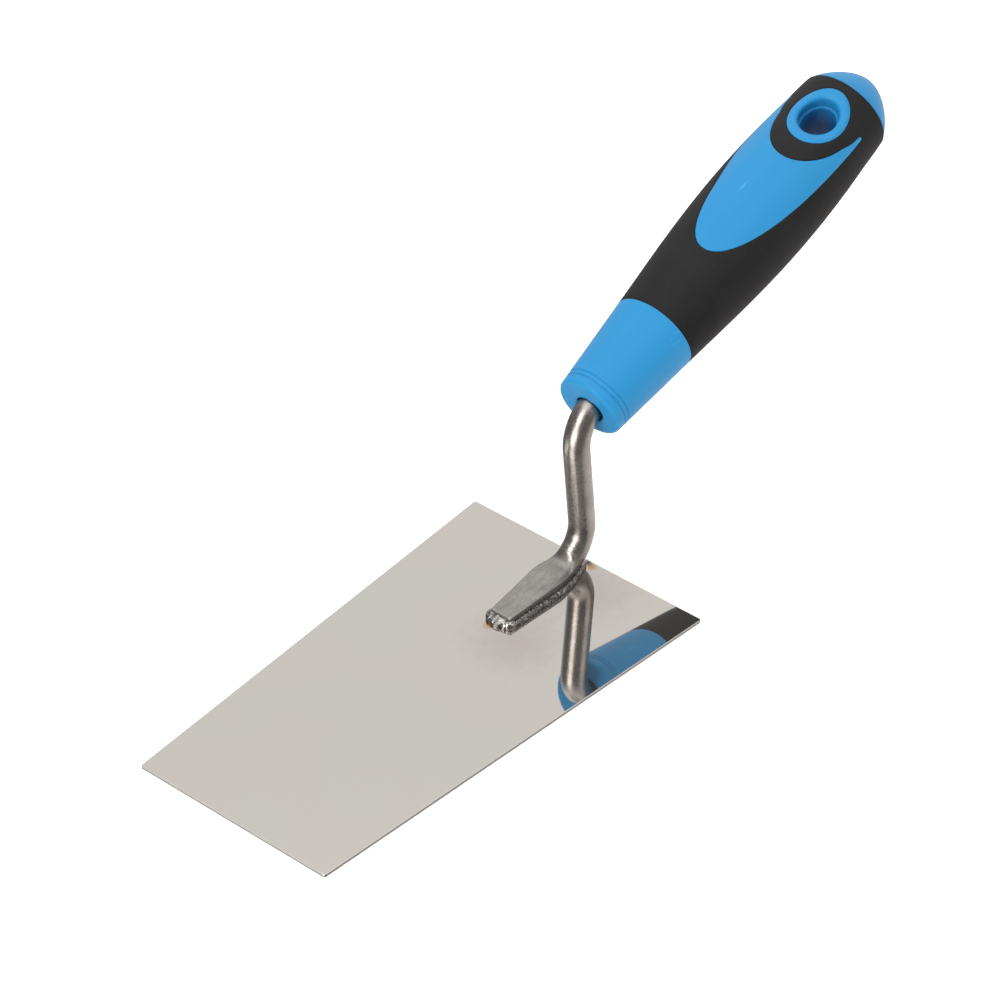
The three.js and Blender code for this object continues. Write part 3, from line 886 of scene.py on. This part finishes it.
@dataclass
class Bead(Part):
    """A rippled weld bead along one side of the foot."""

    line: RodLine
    foot: NeckRod
    side: Side
    right_radius: float = 1.3
    left_radius: float = 1.2
    inset: float = 0.2
    toe_lead: float = 1.0
    end_setback: float = 2.5
    heel_place: float = 2.9
    narrow_lead: float = 5.0
    ripple_pitch: float = 1.1
    ripple_height: float = 0.035
    ripple_bow: float = 0.9
    lowest: float = 0.55
    stations: int = 150
    sides: int = 48
    finish: Finish = WeldMetal("weld_metal", (0.42, 0.40, 0.385), 0.3, 1.0)

    @property
    def role(self) -> Role:
        """The bead's role, named after its side."""
        node = f"weld_bead_{self.side.name.lower()}"
        return Role(f"{node}_rippled", node, Slot.WELD, 70)

    def seat(self) -> Seat:
        """The rod's own plane."""
        return self.line.rod_seat()

    def grids(self) -> list[Grid]:
        """A tube along the foot's side. Its radius swells and shrinks at the ripple pitch, each ripple
        bowed backwards towards the bead's flanks, with lumps over it and round ends, and it is cut off
        inside the blade's thickness."""
        line, foot, sign = self.line, self.foot, self.side.value
        toe = line.toe[0]
        start, end = toe - self.toe_lead, line.heel - self.end_setback
        share = np.linspace(0, 1, self.stations)[:, None]
        angle = np.linspace(0, math.tau, self.sides, endpoint=False)[None]
        along = start + (end - start) * share
        bend_start = toe + line.foot_length()
        slope = (foot.heel_width - foot.toe_width) / 2 / (bend_start - toe)
        edge = foot.toe_width / 2 + slope * (np.minimum(along, bend_start) - toe) + self.inset
        centre = edge + (self.heel_place - edge) * smooth_step(along, bend_start - self.narrow_lead, end + 1)
        centre *= sign
        bow = self.ripple_bow * (1 - np.sin(angle).clip(0, 1))
        ripple = np.sin((along - bow) / self.ripple_pitch * math.tau) ** 3
        ends = np.sqrt(np.clip(1 - (1 - share) ** 30, 0, 1)) * np.sqrt(np.clip(1 - share**22, 0, 1))
        places = np.stack(np.broadcast_arrays(centre, along, angle * 2.0), axis=-1)
        lumps = lump_field(places, 3.4, 11 + sign) * 0.05 + lump_field(places, 1.3, 21 + sign) * 0.03
        size = self.right_radius if self.side is Side.RIGHT else self.left_radius
        radius = (size + self.ripple_height * ripple + lumps) * ends
        shift = foot.shift(np.clip((along - toe) / (bend_start - toe), 0, 1))
        across = shift + centre + radius * np.cos(angle)
        up = np.maximum(line.foot_floor + radius * np.sin(angle), self.lowest)
        return [(np.stack(np.broadcast_arrays(across, along, up), axis=-1), True)]


@dataclass(frozen=True)
class Blob:
    """A lumpy ellipsoid: its middle, measured from the foot's toe end, its half sizes and its lumps' seed."""

    centre: Triple
    sizes: Triple
    seed: int


@dataclass
class Nugget(Part):
    """The fat end of the weld round the foot's toe end: three lumpy blobs that run into each other."""

    line: RodLine
    lowest: float = 0.55
    rows: int = 30
    sides: int = 48
    blobs: tuple[Blob, ...] = (
        Blob((-2.4, 0.1, 1.7), (2.0, 2.1, 2.0), 31),
        Blob((0.8, -0.5, 1.4), (4.4, 2.35, 2.05), 41),
        Blob((3.9, 0.1, 1.5), (2.0, 2.2, 1.85), 51),
    )
    finish: Finish = WeldMetal(
        "weld_nugget_metal", (0.60, 0.58, 0.56), 0.22, 1.0, scale_colour=(0.13, 0.125, 0.12), lump_scale=520.0
    )
    role: ClassVar[Role] = Role("weld_nugget_lumps", "weld_nugget", Slot.WELD, 70)

    def seat(self) -> Seat:
        """The rod's own plane."""
        return self.line.rod_seat()

    def grids(self) -> list[Grid]:
        """Each blob, its radius raised and lowered by lumps, cut off inside the blade's thickness."""
        rise = np.linspace(-math.pi / 2, math.pi / 2, self.rows)[:, None]
        angle = np.linspace(0, math.tau, self.sides, endpoint=False)[None]
        sphere = (np.cos(rise) * np.cos(angle), np.cos(rise) * np.sin(angle), np.sin(rise))
        grids = []
        for blob in self.blobs:
            ball = np.stack(np.broadcast_arrays(*sphere), axis=-1) * np.array(blob.sizes)
            coarse, fine = lump_field(ball, 3.2, blob.seed), lump_field(ball, 1.3, blob.seed + 1)
            ball *= (1 + 0.07 * coarse + 0.02 * fine)[..., None]
            grid = ball + np.array(blob.centre) + [0, self.line.toe[0], 0]
            grid[..., 2] = np.maximum(grid[..., 2], self.lowest)
            grids.append((grid, True))
        return grids


# ---------------------------------------------------------------- handle


@dataclass
class HandleShape:
    """The handle's outside, a turned shape along +Y from its front face, and the outlines drawn on it."""

    length: float = 139.0
    ferrule_length: float = 31.7
    cap_length: float = 12.4
    face_radius: float = 10.5
    ferrule_radius: float = 13.25
    cap_radius: float = 14.13
    bulge_front: float = 0.29
    bulge_back: float = 0.448
    cap_taper: float = 0.117
    dome_shoulder: float = 1.6
    dome_nose: float = 7.0
    grip_thickness: float = 2.4
    hole_from_tail: float = 26.6
    hole_size: tuple[float, float] = (11.0, 13.9)
    hole_step: float = 0.6
    hole_waist: float = 20.0
    ring_size: tuple[float, float] = (16.9, 22.1)
    collar_size: tuple[float, float] = (22.6, 37.0)
    tongue_width: float = 26.4
    tongue_reach: float = 57.2
    tongue_widest: float = 9.4
    tongue_power: float = 2.15
    left_swell: float = 0.1
    swell_run: tuple[float, float] = (37.0, 17.0)
    arm_overrun: float = 4.4
    arm_narrowing: float = 0.5

    def __post_init__(self) -> None:
        """Samples the outside's profile: straight ferrule, swelling grip and rounded tail."""
        self.grip_end = self.length - self.cap_length
        self.hole_centre = self.length - self.hole_from_tail
        grip_length = self.grip_end - self.ferrule_length
        front, back = grip_length * self.bulge_front, grip_length * self.bulge_back
        taper = (self.ferrule_radius - self.face_radius) / self.ferrule_length
        self.grip_curve = bezier([
            (self.ferrule_length, self.ferrule_radius),
            (self.ferrule_length + front, self.ferrule_radius + taper * front),
            (self.grip_end - back, self.cap_radius + self.cap_taper * back),
            (self.grip_end, self.cap_radius),
        ], 400)
        self.dome_curve = bezier([
            (self.grip_end, self.cap_radius),
            (self.grip_end + self.dome_shoulder, self.cap_radius),
            (self.length, self.dome_nose),
            (self.length, 0.0),
        ], 30)

    def radius(self, along: np.ndarray) -> np.ndarray:
        """The grip's radius at distances from the front face."""
        return np.interp(along, self.grip_curve[:, 0], self.grip_curve[:, 1])

    def taper(self, along: np.ndarray) -> np.ndarray:
        """The ferrule's radius at distances from the front face."""
        return self.face_radius + (self.ferrule_radius - self.face_radius) * along / self.ferrule_length

    def in_oval(self, size: tuple[float, float], x: np.ndarray, y: np.ndarray) -> np.ndarray:
        """Whether points lie inside an oval of a width and a length round the hole's centre."""
        return (2 * x / size[0]) ** 2 + (2 * (y - self.hole_centre) / size[1]) ** 2 < 1

    def in_tongue(self, x: np.ndarray, y: np.ndarray) -> np.ndarray:
        """Whether points lie inside the tongue's superellipse, |x/w|^p + |y/l|^p < 1.

        Args:
            x: distances to the handle's right.
            y: distances from the front face.

        Returns:
            Whether each point is inside.
        """
        away = np.abs(y - self.hole_centre + self.tongue_widest) / (self.tongue_reach - self.tongue_widest)
        first, last = (self.hole_centre - reach for reach in self.swell_run)
        x = np.where(x < 0, x / (1 + self.left_swell * smooth_step(y, first, last)), x)
        return np.abs(2 * x / self.tongue_width) ** self.tongue_power + away**self.tongue_power < 1


LIP_IN = np.array([0.0, 0.03, 0.1, 0.22, 0.4])
LIP_DROP = np.array([0.3, 0.16, 0.06, 0.014, 0.0])


class Spokes:
    """Straight spokes on the unrolled upper half of the grip, from the hole's centre to the half's rim.

    The unrolled plane's first coordinate is the angle round the handle times a fixed radius, and its second
    is the distance from the front face. The rows of every handle surface are drawn across these spokes, so
    the rows can follow the outlines of the hole, ring, collar and tongue exactly.
    """

    UNROLL = 15.0
    END_COUNT = 80
    SIDE_COUNT = 200
    HALVINGS = 40
    LEAST_CROSSING = 0.3
    NARROWING_ANGLE = 0.7

    def __init__(self, shape: HandleShape) -> None:
        """Works out the spokes' directions and where each outline crosses them."""
        self.shape = shape
        half, half_end = self.UNROLL * math.pi / 2, self.END_COUNT // 2
        front, back = shape.ferrule_length, shape.grip_end
        rim = np.concatenate([
            np.linspace((0, back), (-half, back), half_end, endpoint=False),
            np.linspace((-half, back), (-half, front), self.SIDE_COUNT, endpoint=False),
            np.linspace((-half, front), (half, front), self.END_COUNT, endpoint=False),
            np.linspace((half, front), (half, back), self.SIDE_COUNT, endpoint=False),
            np.linspace((half, back), (0, back), half_end, endpoint=False),
        ])
        from_centre = rim - np.array([0, shape.hole_centre])
        self.rim = np.linalg.norm(from_centre, axis=1)
        self.way = from_centre / self.rim[:, None]
        self.front_edge = slice(half_end + self.SIDE_COUNT, half_end + self.END_COUNT + self.SIDE_COUNT + 1)
        at_back = np.isclose(rim[:, 1], back)
        order = np.roll(np.arange(len(rim)), half_end)
        self.back_edge = order[at_back[order]]
        on_end = at_back | np.isclose(rim[:, 1], front)
        self.rim_slant = 1 / np.where(on_end, np.abs(self.way[:, 1]), np.abs(self.way[:, 0]))
        waist = tuple(size - 2 * shape.hole_step for size in shape.hole_size)
        self.hole = self.reach_to(partial(shape.in_oval, shape.hole_size))
        self.waist = self.reach_to(partial(shape.in_oval, waist))
        self.ring = self.reach_to(partial(shape.in_oval, shape.ring_size))
        self.find_tongue()

    def reach_to(self, inside: Region) -> np.ndarray:
        """Halves the interval along every spoke until it closes on the edge of a region.

        Args:
            inside: tells whether points, seen square on from above, lie in the region.

        Returns:
            The distance along each spoke.
        """
        low, high = np.zeros_like(self.rim), self.rim.copy()
        for _ in range(self.HALVINGS):
            middle = (low + high) / 2
            x, y, _ = self.points(middle).T
            kept = inside(x, y)
            low, high = np.where(kept, middle, low), np.where(kept, high, middle)
        return low

    def points(self, reach: np.ndarray, depth: np.ndarray | float = 0.0) -> np.ndarray:
        """Points on the spokes, at a depth below the grip's outside.

        Args:
            reach: distances along the spokes, of shape (..., spokes).
            depth: how far towards the handle's axis.

        Returns:
            Points of shape (..., spokes, 3) in the handle's frame.
        """
        angle = reach * self.way[:, 0] / self.UNROLL
        along = self.shape.hole_centre + reach * self.way[:, 1]
        radius = self.shape.radius(along) - depth
        return np.stack([radius * np.sin(angle), along, radius * np.cos(angle)], axis=-1)

    def shelf(self, first: np.ndarray, last: np.ndarray, count: int, depth: float) -> np.ndarray:
        """Rows at one depth from an outline to another, both of them and count more between them."""
        return self.points(np.concatenate([first[None], between(first, last, count), last[None]]), depth)

    def slant(self, reach: np.ndarray) -> np.ndarray:
        """How much longer a step along a spoke is than a step square to the outline that it crosses."""
        outline = self.way * reach[:, None]
        tangent = np.roll(outline, -1, axis=0) - np.roll(outline, 1, axis=0)
        tangent /= np.linalg.norm(tangent, axis=1, keepdims=True)
        crossing = np.abs(self.way[:, 0] * tangent[:, 1] - self.way[:, 1] * tangent[:, 0])
        return 1 / np.maximum(crossing, self.LEAST_CROSSING)

    def find_tongue(self) -> None:
        """Finds the tongue's inner and outer edge on each spoke, and closes its arms with round ends.
        Past the ends the two edges meet in one line between the ring and the rim."""
        shape = self.shape
        inner = self.reach_to(partial(shape.in_oval, shape.collar_size))
        outer = self.reach_to(shape.in_tongue)
        angle = np.arctan2(np.abs(self.way[:, 0]), -self.way[:, 1])
        past = (inner + outer) / 2 * self.way[:, 1]
        last = np.argmin(np.abs(past - shape.arm_overrun) + 99 * (past > shape.arm_overrun))
        narrowed = shape.arm_narrowing * smooth_step(angle, angle[last] - self.NARROWING_ANGLE, angle[last])
        inner = inner + (outer - inner) * narrowed
        middle = (inner + outer) / 2
        round_off = (outer - inner)[last] / 2 / middle[last]
        width = np.sqrt(np.clip(1 - np.clip((angle - angle[last] + round_off) / round_off, 0, 1) ** 2, 0, 1))
        share = (middle[last] - self.ring[last]) / (self.rim[last] - self.ring[last])
        middle = np.where(width > 0, middle, self.ring + share * (self.rim - self.ring))
        self.inner = np.where(width > 0, middle - (middle - inner) * width, middle)
        self.outer = np.where(width > 0, middle + (outer - middle) * width, middle)
        self.solid = (width > 0).astype(float)
        there = np.flatnonzero(width > 0)
        self.arms = slice(there[0] - 1, there[-1] + 2)

    def lip(self, edge: np.ndarray, room: np.ndarray, sign: int) -> tuple[np.ndarray, np.ndarray]:
        """Rows of a small rounded lip beside an outline.

        Args:
            edge: the outline's reach on each spoke.
            room: the most that the lip may take on each spoke.
            sign: 1 for a lip on the far side of the outline and -1 for one on the near side.

        Returns:
            The rows' reach and their drop, both of shape (5, spokes), from the outline away.
        """
        width = np.minimum(LIP_IN[-1] * self.slant(edge), room)
        reach = edge + sign * width * (LIP_IN / LIP_IN[-1])[:, None]
        return reach, np.broadcast_to(LIP_DROP[:, None], reach.shape)


@dataclass
class HandlePart(Part):
    """A piece of the handle, drawn across the spokes and the same on the handle's two halves."""

    line: RodLine
    spokes: Spokes

    def __post_init__(self) -> None:
        """Takes up the handle's shape."""
        self.shape = self.spokes.shape

    def seat(self) -> Seat:
        """The handle's own frame."""
        return self.line.handle_seat()

    def both_halves(self, grids: list[Grid]) -> list[Grid]:
        """The upper half's grids, and the same turned half round for the lower half."""
        return [(grid * [half, 1, half], around) for half in (1, -1) for grid, around in grids]


@dataclass
class HandleCore(HandlePart):
    """The blue plastic core: ferrule, hidden middle, tongue islands, ring with its bore, and tail."""

    face_rim: float = 1.4
    mouth_radius: float = 4.6
    mouth_shift: Triple = (0.42, 0.0, -0.1)
    mouth_depth: float = 4.7
    socket_radius: float = 4.3
    socket_depth: float = 16.0
    groove_places: tuple[float, float] = (3.3, 4.8)
    groove_depth: float = 0.32
    groove_width: float = 0.24
    grooves_end: float = 6.2
    mouth_rows: int = 9
    lip_depth: float = 1.9
    lip_share: float = 0.52
    crown: float = 0.14
    finish: Finish = MouldedPlastic("blue_moulded_plastic", (0.0185, 0.229, 0.487), 0.42, 0.0, 0.22)
    role: ClassVar[Role] = Role("handle_core_plastic", "handle_core", Slot.PLASTIC, 55)

    def bore_rows(self) -> np.ndarray:
        """The bore and the ring's face. The bore runs up from the handle's middle, steps out above its
        waist and rolls over a quarter ellipse into a crowned face, whose outer edge is a small lip above
        a wall down to the hidden middle.

        Returns:
            Points of shape (rows, spokes, 3).
        """
        spokes = self.spokes
        waist, hole, step = spokes.waist, spokes.hole, self.shape.hole_waist / 2
        reaches, heights = zip(
            (waist, 0.0), (waist, 3.5), (waist, 7.0), (waist, step - 0.5),
            (waist + 0.04, step - 0.2), (waist + 0.16, step - 0.04),
            (hole - 0.12, step + 0.03), (hole - 0.03, step + 0.12), (hole, step + 0.3),
        )
        bore = spokes.points(np.stack(reaches))
        bore[..., 2] = np.array(heights)[:, None]
        turn = np.linspace(0, math.pi / 2, 12)[:, None]
        roll_width = (spokes.ring - hole) * self.lip_share
        roll = spokes.points(hole + roll_width * (1 - np.cos(turn)))
        roll[..., 2] -= self.lip_depth * (1 - np.sin(turn))
        lip, drop = spokes.lip(spokes.ring, spokes.ring - hole - roll_width, -1)
        share = np.linspace(0, 1, 8)[1:-1, None]
        face = spokes.points(between(hole + roll_width, lip[-1], 6), -self.crown * np.sin(share * math.pi))
        return np.concatenate([bore, roll, face, spokes.points(lip, drop)[::-1]])

    def grids(self) -> list[Grid]:
        """Both halves of the middle with their islands, and the turned ferrule and tail."""
        spokes, deep = self.spokes, self.shape.grip_thickness
        inner, outer = spokes.inner, spokes.outer
        room = (outer - inner) * 0.45
        near, near_drop = spokes.lip(inner, room, 1)
        far, far_drop = spokes.lip(outer, room, -1)
        tongue = np.concatenate([
            spokes.points(inner, deep)[None],
            spokes.points(near, near_drop),
            spokes.points(between(near[-1], far[-1], 18)),
            spokes.points(far, far_drop)[::-1],
            spokes.points(outer, deep)[None],
        ])[:, spokes.arms]
        ferrule = self.turned(self.ferrule_profile())
        ferrule[-self.mouth_rows :] += np.array(self.mouth_shift)
        return self.both_halves([
            (np.concatenate([self.bore_rows(), spokes.shelf(spokes.ring, inner, 2, deep)]), True),
            (tongue, False),
            (spokes.shelf(outer, spokes.rim, 5, deep), True),
        ]) + [(ferrule, True), (self.turned(self.tail_profile()), True)]

    def turned(self, profile: np.ndarray) -> np.ndarray:
        """Turns a profile of (distance, radius) points about the handle's axis, in line with the spokes."""
        angle = np.linspace(0, math.tau, Spokes.END_COUNT * 2, endpoint=False)[None]
        along, radius = profile[:, :1], profile[:, 1:]
        return np.stack(np.broadcast_arrays(radius * np.sin(angle), along, radius * np.cos(angle)), axis=-1)

    def ferrule_profile(self) -> np.ndarray:
        """From the hidden middle up the ferrule's back lip, along its taper with two Gaussian grooves, over
        the rounded rim and face into the mouth and socket, and across to the axis."""
        shape, mouth, socket = self.shape, self.mouth_radius, self.socket_radius
        back = shape.ferrule_length
        start = np.array([[back, shape.radius(np.array(back)) - shape.grip_thickness]])
        lip = np.stack([back - LIP_IN, shape.taper(back - LIP_IN) - LIP_DROP], axis=-1)
        plain = np.linspace(back - 1.2, self.grooves_end + 0.4, 14)
        run = np.concatenate([plain, np.linspace(self.grooves_end, self.face_rim + 0.3, 56)])
        groove = sum(np.exp(-(((run - place) / self.groove_width) ** 2)) for place in self.groove_places)
        side = np.stack([run, shape.taper(run) - groove * self.groove_depth], axis=-1)
        t = np.linspace(0, 1, 9)[:, None]
        corner = np.array([0.0, shape.face_radius])
        rim_start = np.array([self.face_rim, float(shape.taper(np.array(self.face_rim)))])
        rim_end = corner - [0, self.face_rim]
        rim = rim_start * (1 - t) ** 2 + 2 * corner * t * (1 - t) + rim_end * t**2
        inside = np.array([
            [0.0, 7.4], [0.0, 6.0], [0.0, mouth + 0.35], [0.05, mouth + 0.16], [0.18, mouth + 0.04],
            [0.4, mouth], [self.mouth_depth / 2, mouth], [self.mouth_depth, mouth],
            [self.mouth_depth + mouth - socket, socket],
            [self.socket_depth, socket], [self.socket_depth, 0.0],
        ])
        return np.concatenate([start, lip, side, rim, inside])

    def tail_profile(self) -> np.ndarray:
        """From the hidden middle up the tail's front lip and over the dome to the axis."""
        shape, front = self.shape, self.shape.grip_end
        start = np.array([[front, shape.radius(np.array(front)) - shape.grip_thickness]])
        lip = np.stack([front + LIP_IN * 0.5, shape.cap_radius - LIP_DROP], axis=-1)
        dome = shape.dome_curve[shape.dome_curve[:, 0] > front + LIP_IN[-1] * 0.6]
        return np.concatenate([start, lip, dome])


@dataclass
class Grip(HandlePart):
    """The black rubber sleeve, with windows for the tongue islands and the rings."""

    proud: float = 0.28
    wall: float = 2.1
    clearance: float = 0.02
    end_lip: float = 0.35
    end_roll: float = 0.6
    finish: Finish = SoftRubber("black_soft_rubber", (0.0078, 0.0077, 0.0081), 0.6, 0.0, 0.19)
    role: ClassVar[Role] = Role("grip_rubber", "grip", Slot.RUBBER, 60)

    def outside(self, reach: np.ndarray, drop: np.ndarray | float = 0.0) -> np.ndarray:
        """Points on the sleeve's outside, which swells a little towards its back end and rolls over at
        both ends.

        Args:
            reach: distances along the spokes.
            drop: how far below the outside.

        Returns:
            Points of shape (..., spokes, 3).
        """
        shape = self.shape
        along = shape.hole_centre + reach * self.spokes.way[:, 1]
        swell = self.proud * smooth_step(along, shape.hole_centre + 3, shape.grip_end - 1)
        near_end = np.minimum(along - shape.ferrule_length, shape.grip_end - along)
        roll = 1 - np.clip(near_end / self.end_lip, 0, 1)
        fall = self.end_lip * self.end_roll * (1 - np.sqrt(np.clip(1 - roll**2, 0, 1)))
        return self.spokes.points(reach, drop - swell + fall)

    def grids(self) -> list[Grid]:
        """The outside between the ring and the tongue and between the tongue and the ends, the inside
        below both, and the walls of every window and end."""
        spokes, solid, rim = self.spokes, self.spokes.solid, self.spokes.rim
        gap = self.clearance * solid
        ring, inner, outer = spokes.ring + self.clearance, spokes.inner - gap, spokes.outer + gap
        collar_room, rim_room = (inner - ring) * 0.4, (rim - outer) * 0.3
        ring_lip, ring_drop = spokes.lip(ring, collar_room, 1)
        inner_lip, inner_drop = spokes.lip(inner, collar_room, -1)
        outer_lip, outer_drop = spokes.lip(outer, rim_room, 1)
        near = np.concatenate([
            self.outside(ring_lip, ring_drop),
            self.outside(between(ring_lip[-1], inner_lip[-1], 8)),
            self.outside(inner_lip, inner_drop * solid)[::-1],
        ])
        steps = np.array([1.0, 0.6, 0.3, 0.12, 0.0])[:, None]
        rim_rows = rim - np.minimum(self.end_lip * spokes.rim_slant, rim_room) * steps
        wide = np.concatenate([
            self.outside(outer_lip, outer_drop * solid),
            self.outside(between(outer_lip[-1], rim_rows[0], 26)),
            self.outside(rim_rows),
        ])
        under_near = spokes.shelf(ring, inner, 2, self.wall)
        under_wide = spokes.shelf(outer, rim, 4, self.wall)
        grids = [(sheet, True) for sheet in (near, wide, under_near, under_wide)]
        grids.append((np.stack([near[0], under_near[0]]), True))
        walls = (
            (near[-1], under_near[-1], spokes.arms), (wide[0], under_wide[0], spokes.arms),
            (wide[-1], under_wide[-1], spokes.front_edge), (wide[-1], under_wide[-1], spokes.back_edge),
        )
        grids += [(np.stack([above, below])[:, stretch], False) for above, below, stretch in walls]
        return self.both_halves(grids)


# ---------------------------------------------------------------- studio


@dataclass(frozen=True)
class Glow:
    """A soft round patch of the surround: where it is, in degrees to the camera's right and above the
    horizon, the angles from its middle where it starts and ends fading, and its colour."""

    azimuth: float
    elevation: float
    core: float
    edge: float
    colour: Triple


@dataclass
class Studio:
    """A pale floor, soft light from the surround, and the camera."""

    floor_size: float = 12.0
    floor_points: int = 13
    floor_height: float = -0.0001
    target: Triple = (-0.00170, 0.03875, 0.04264)
    azimuth: float = 40.767
    elevation: float = 37.413
    roll: float = -0.105
    distance: float = 1.1975
    lens: float = 153.42
    film_width: float = 36.0
    sight: float = 50.0
    dim: Triple = (0.25, 0.25, 0.25)
    glows: tuple[Glow, ...] = (
        Glow(180, 37, 24, 60, (1.15, 1.13, 1.11)),
        Glow(0, 90, 24, 50, (2.1, 2.1, 2.1)),
        Glow(0, 90, 12, 22, (1.1, 1.08, 1.06)),
        Glow(-37, 37, 9, 20, (6.0, 5.92, 5.75)),
        Glow(68, 35, 10, 24, (1.6, 1.5, 1.45)),
        Glow(-35, 0, 12, 26, (4.8, 4.7, 4.6)),
        Glow(-35, -37, 11, 24, (6.6, 6.5, 6.3)),
        Glow(130, -35, 30, 78, (1.0, 0.945, 0.92)),
        Glow(-82, -37, 14, 26, (1.7, 1.68, 1.64)),
    )
    finish: PaleFloor = PaleFloor("pale_floor", (0.93, 0.93, 0.93), 0.8, 0.0, 0.2)

    @staticmethod
    def direction(azimuth: float, elevation: float) -> Vector:
        """The direction that looks back along a view of this azimuth and elevation, in degrees."""
        turned, raised = math.radians(azimuth), math.radians(elevation)
        level = math.cos(raised)
        return Vector((math.sin(turned) * level, -math.cos(turned) * level, math.sin(raised)))

    def build_floor(self, effects: Effects) -> None:
        """A level square grid of points just below the blade, which the steel doesn't mirror."""
        side = np.linspace(-0.5, 0.5, self.floor_points) * self.floor_size
        x, y = np.meshgrid(side, side)
        points = np.stack([x, y, np.full_like(x, self.floor_height)], axis=-1)
        index = np.arange(len(side) ** 2).reshape(len(side), -1)
        mesh = bpy.data.meshes.new("floor")
        mesh.from_pydata(points.reshape(-1, 3).tolist(), [], quads(index)[:, ::-1].tolist())
        mesh.materials.append(self.finish.make(effects))
        floor = new_object("floor", mesh)
        floor.visible_glossy = False

    def build_camera(self) -> None:
        """A long lens that looks at the target from the azimuth and elevation."""
        data = bpy.data.cameras.new("camera")
        data.lens = self.lens
        data.sensor_width = self.film_width
        data.clip_end = self.sight
        camera = new_object("camera", data)
        away = self.direction(self.azimuth, self.elevation)
        camera.location = Vector(self.target) + away * self.distance
        roll = Euler((0, 0, math.radians(self.roll))).to_matrix()
        camera.rotation_euler = (away.to_track_quat("Z", "Y").to_matrix() @ roll).to_euler()
        bpy.context.scene.camera = camera

    def build_light(self) -> None:
        """A dim surround with soft bright patches, some of them below the horizon for the steel to mirror."""
        world = bpy.data.worlds.new("studio_surround")
        bpy.context.scene.world = world
        world.use_nodes = True
        sheet = Sheet(world.node_tree)
        background = world.node_tree.nodes["Background"]
        way = sheet.node("ShaderNodeTexCoord").outputs["Generated"]
        light = opaque(self.dim)
        for glow in self.glows:
            towards = tuple(self.direction(self.azimuth + glow.azimuth, glow.elevation))
            facing = sheet.node("ShaderNodeVectorMath", {"operation": "DOT_PRODUCT"}, in_0=way, in_1=towards)
            fade = (math.cos(math.radians(angle)) for angle in (glow.edge, glow.core))
            light = sheet.blend(sheet.ramp(facing.outputs["Value"], *fade), light, glow.colour)
        sheet.feed(light, background.inputs["Color"])
        background.inputs["Strength"].default_value = 1.0

    def build(self, effects: Effects) -> None:
        """Builds the floor, camera and light, and shows colours as they are."""
        self.build_floor(effects)
        self.build_camera()
        self.build_light()
        bpy.context.scene.view_settings.view_transform = "Standard"


def main() -> None:
    """Builds the trowel and its studio."""
    logging.basicConfig(level=logging.INFO, format="%(message)s")
    effects = Effects()
    line = RodLine()
    Blade().build(effects)
    rod = NeckRod(line)
    rod.build(effects)
    Bead(line, rod, Side.RIGHT).build(effects)
    Bead(line, rod, Side.LEFT).build(effects)
    Nugget(line).build(effects)
    spokes = Spokes(HandleShape())
    HandleCore(line, spokes).build(effects)
    Grip(line, spokes).build(effects)
    Studio().build(effects)


if __name__ == "__main__":
    main()
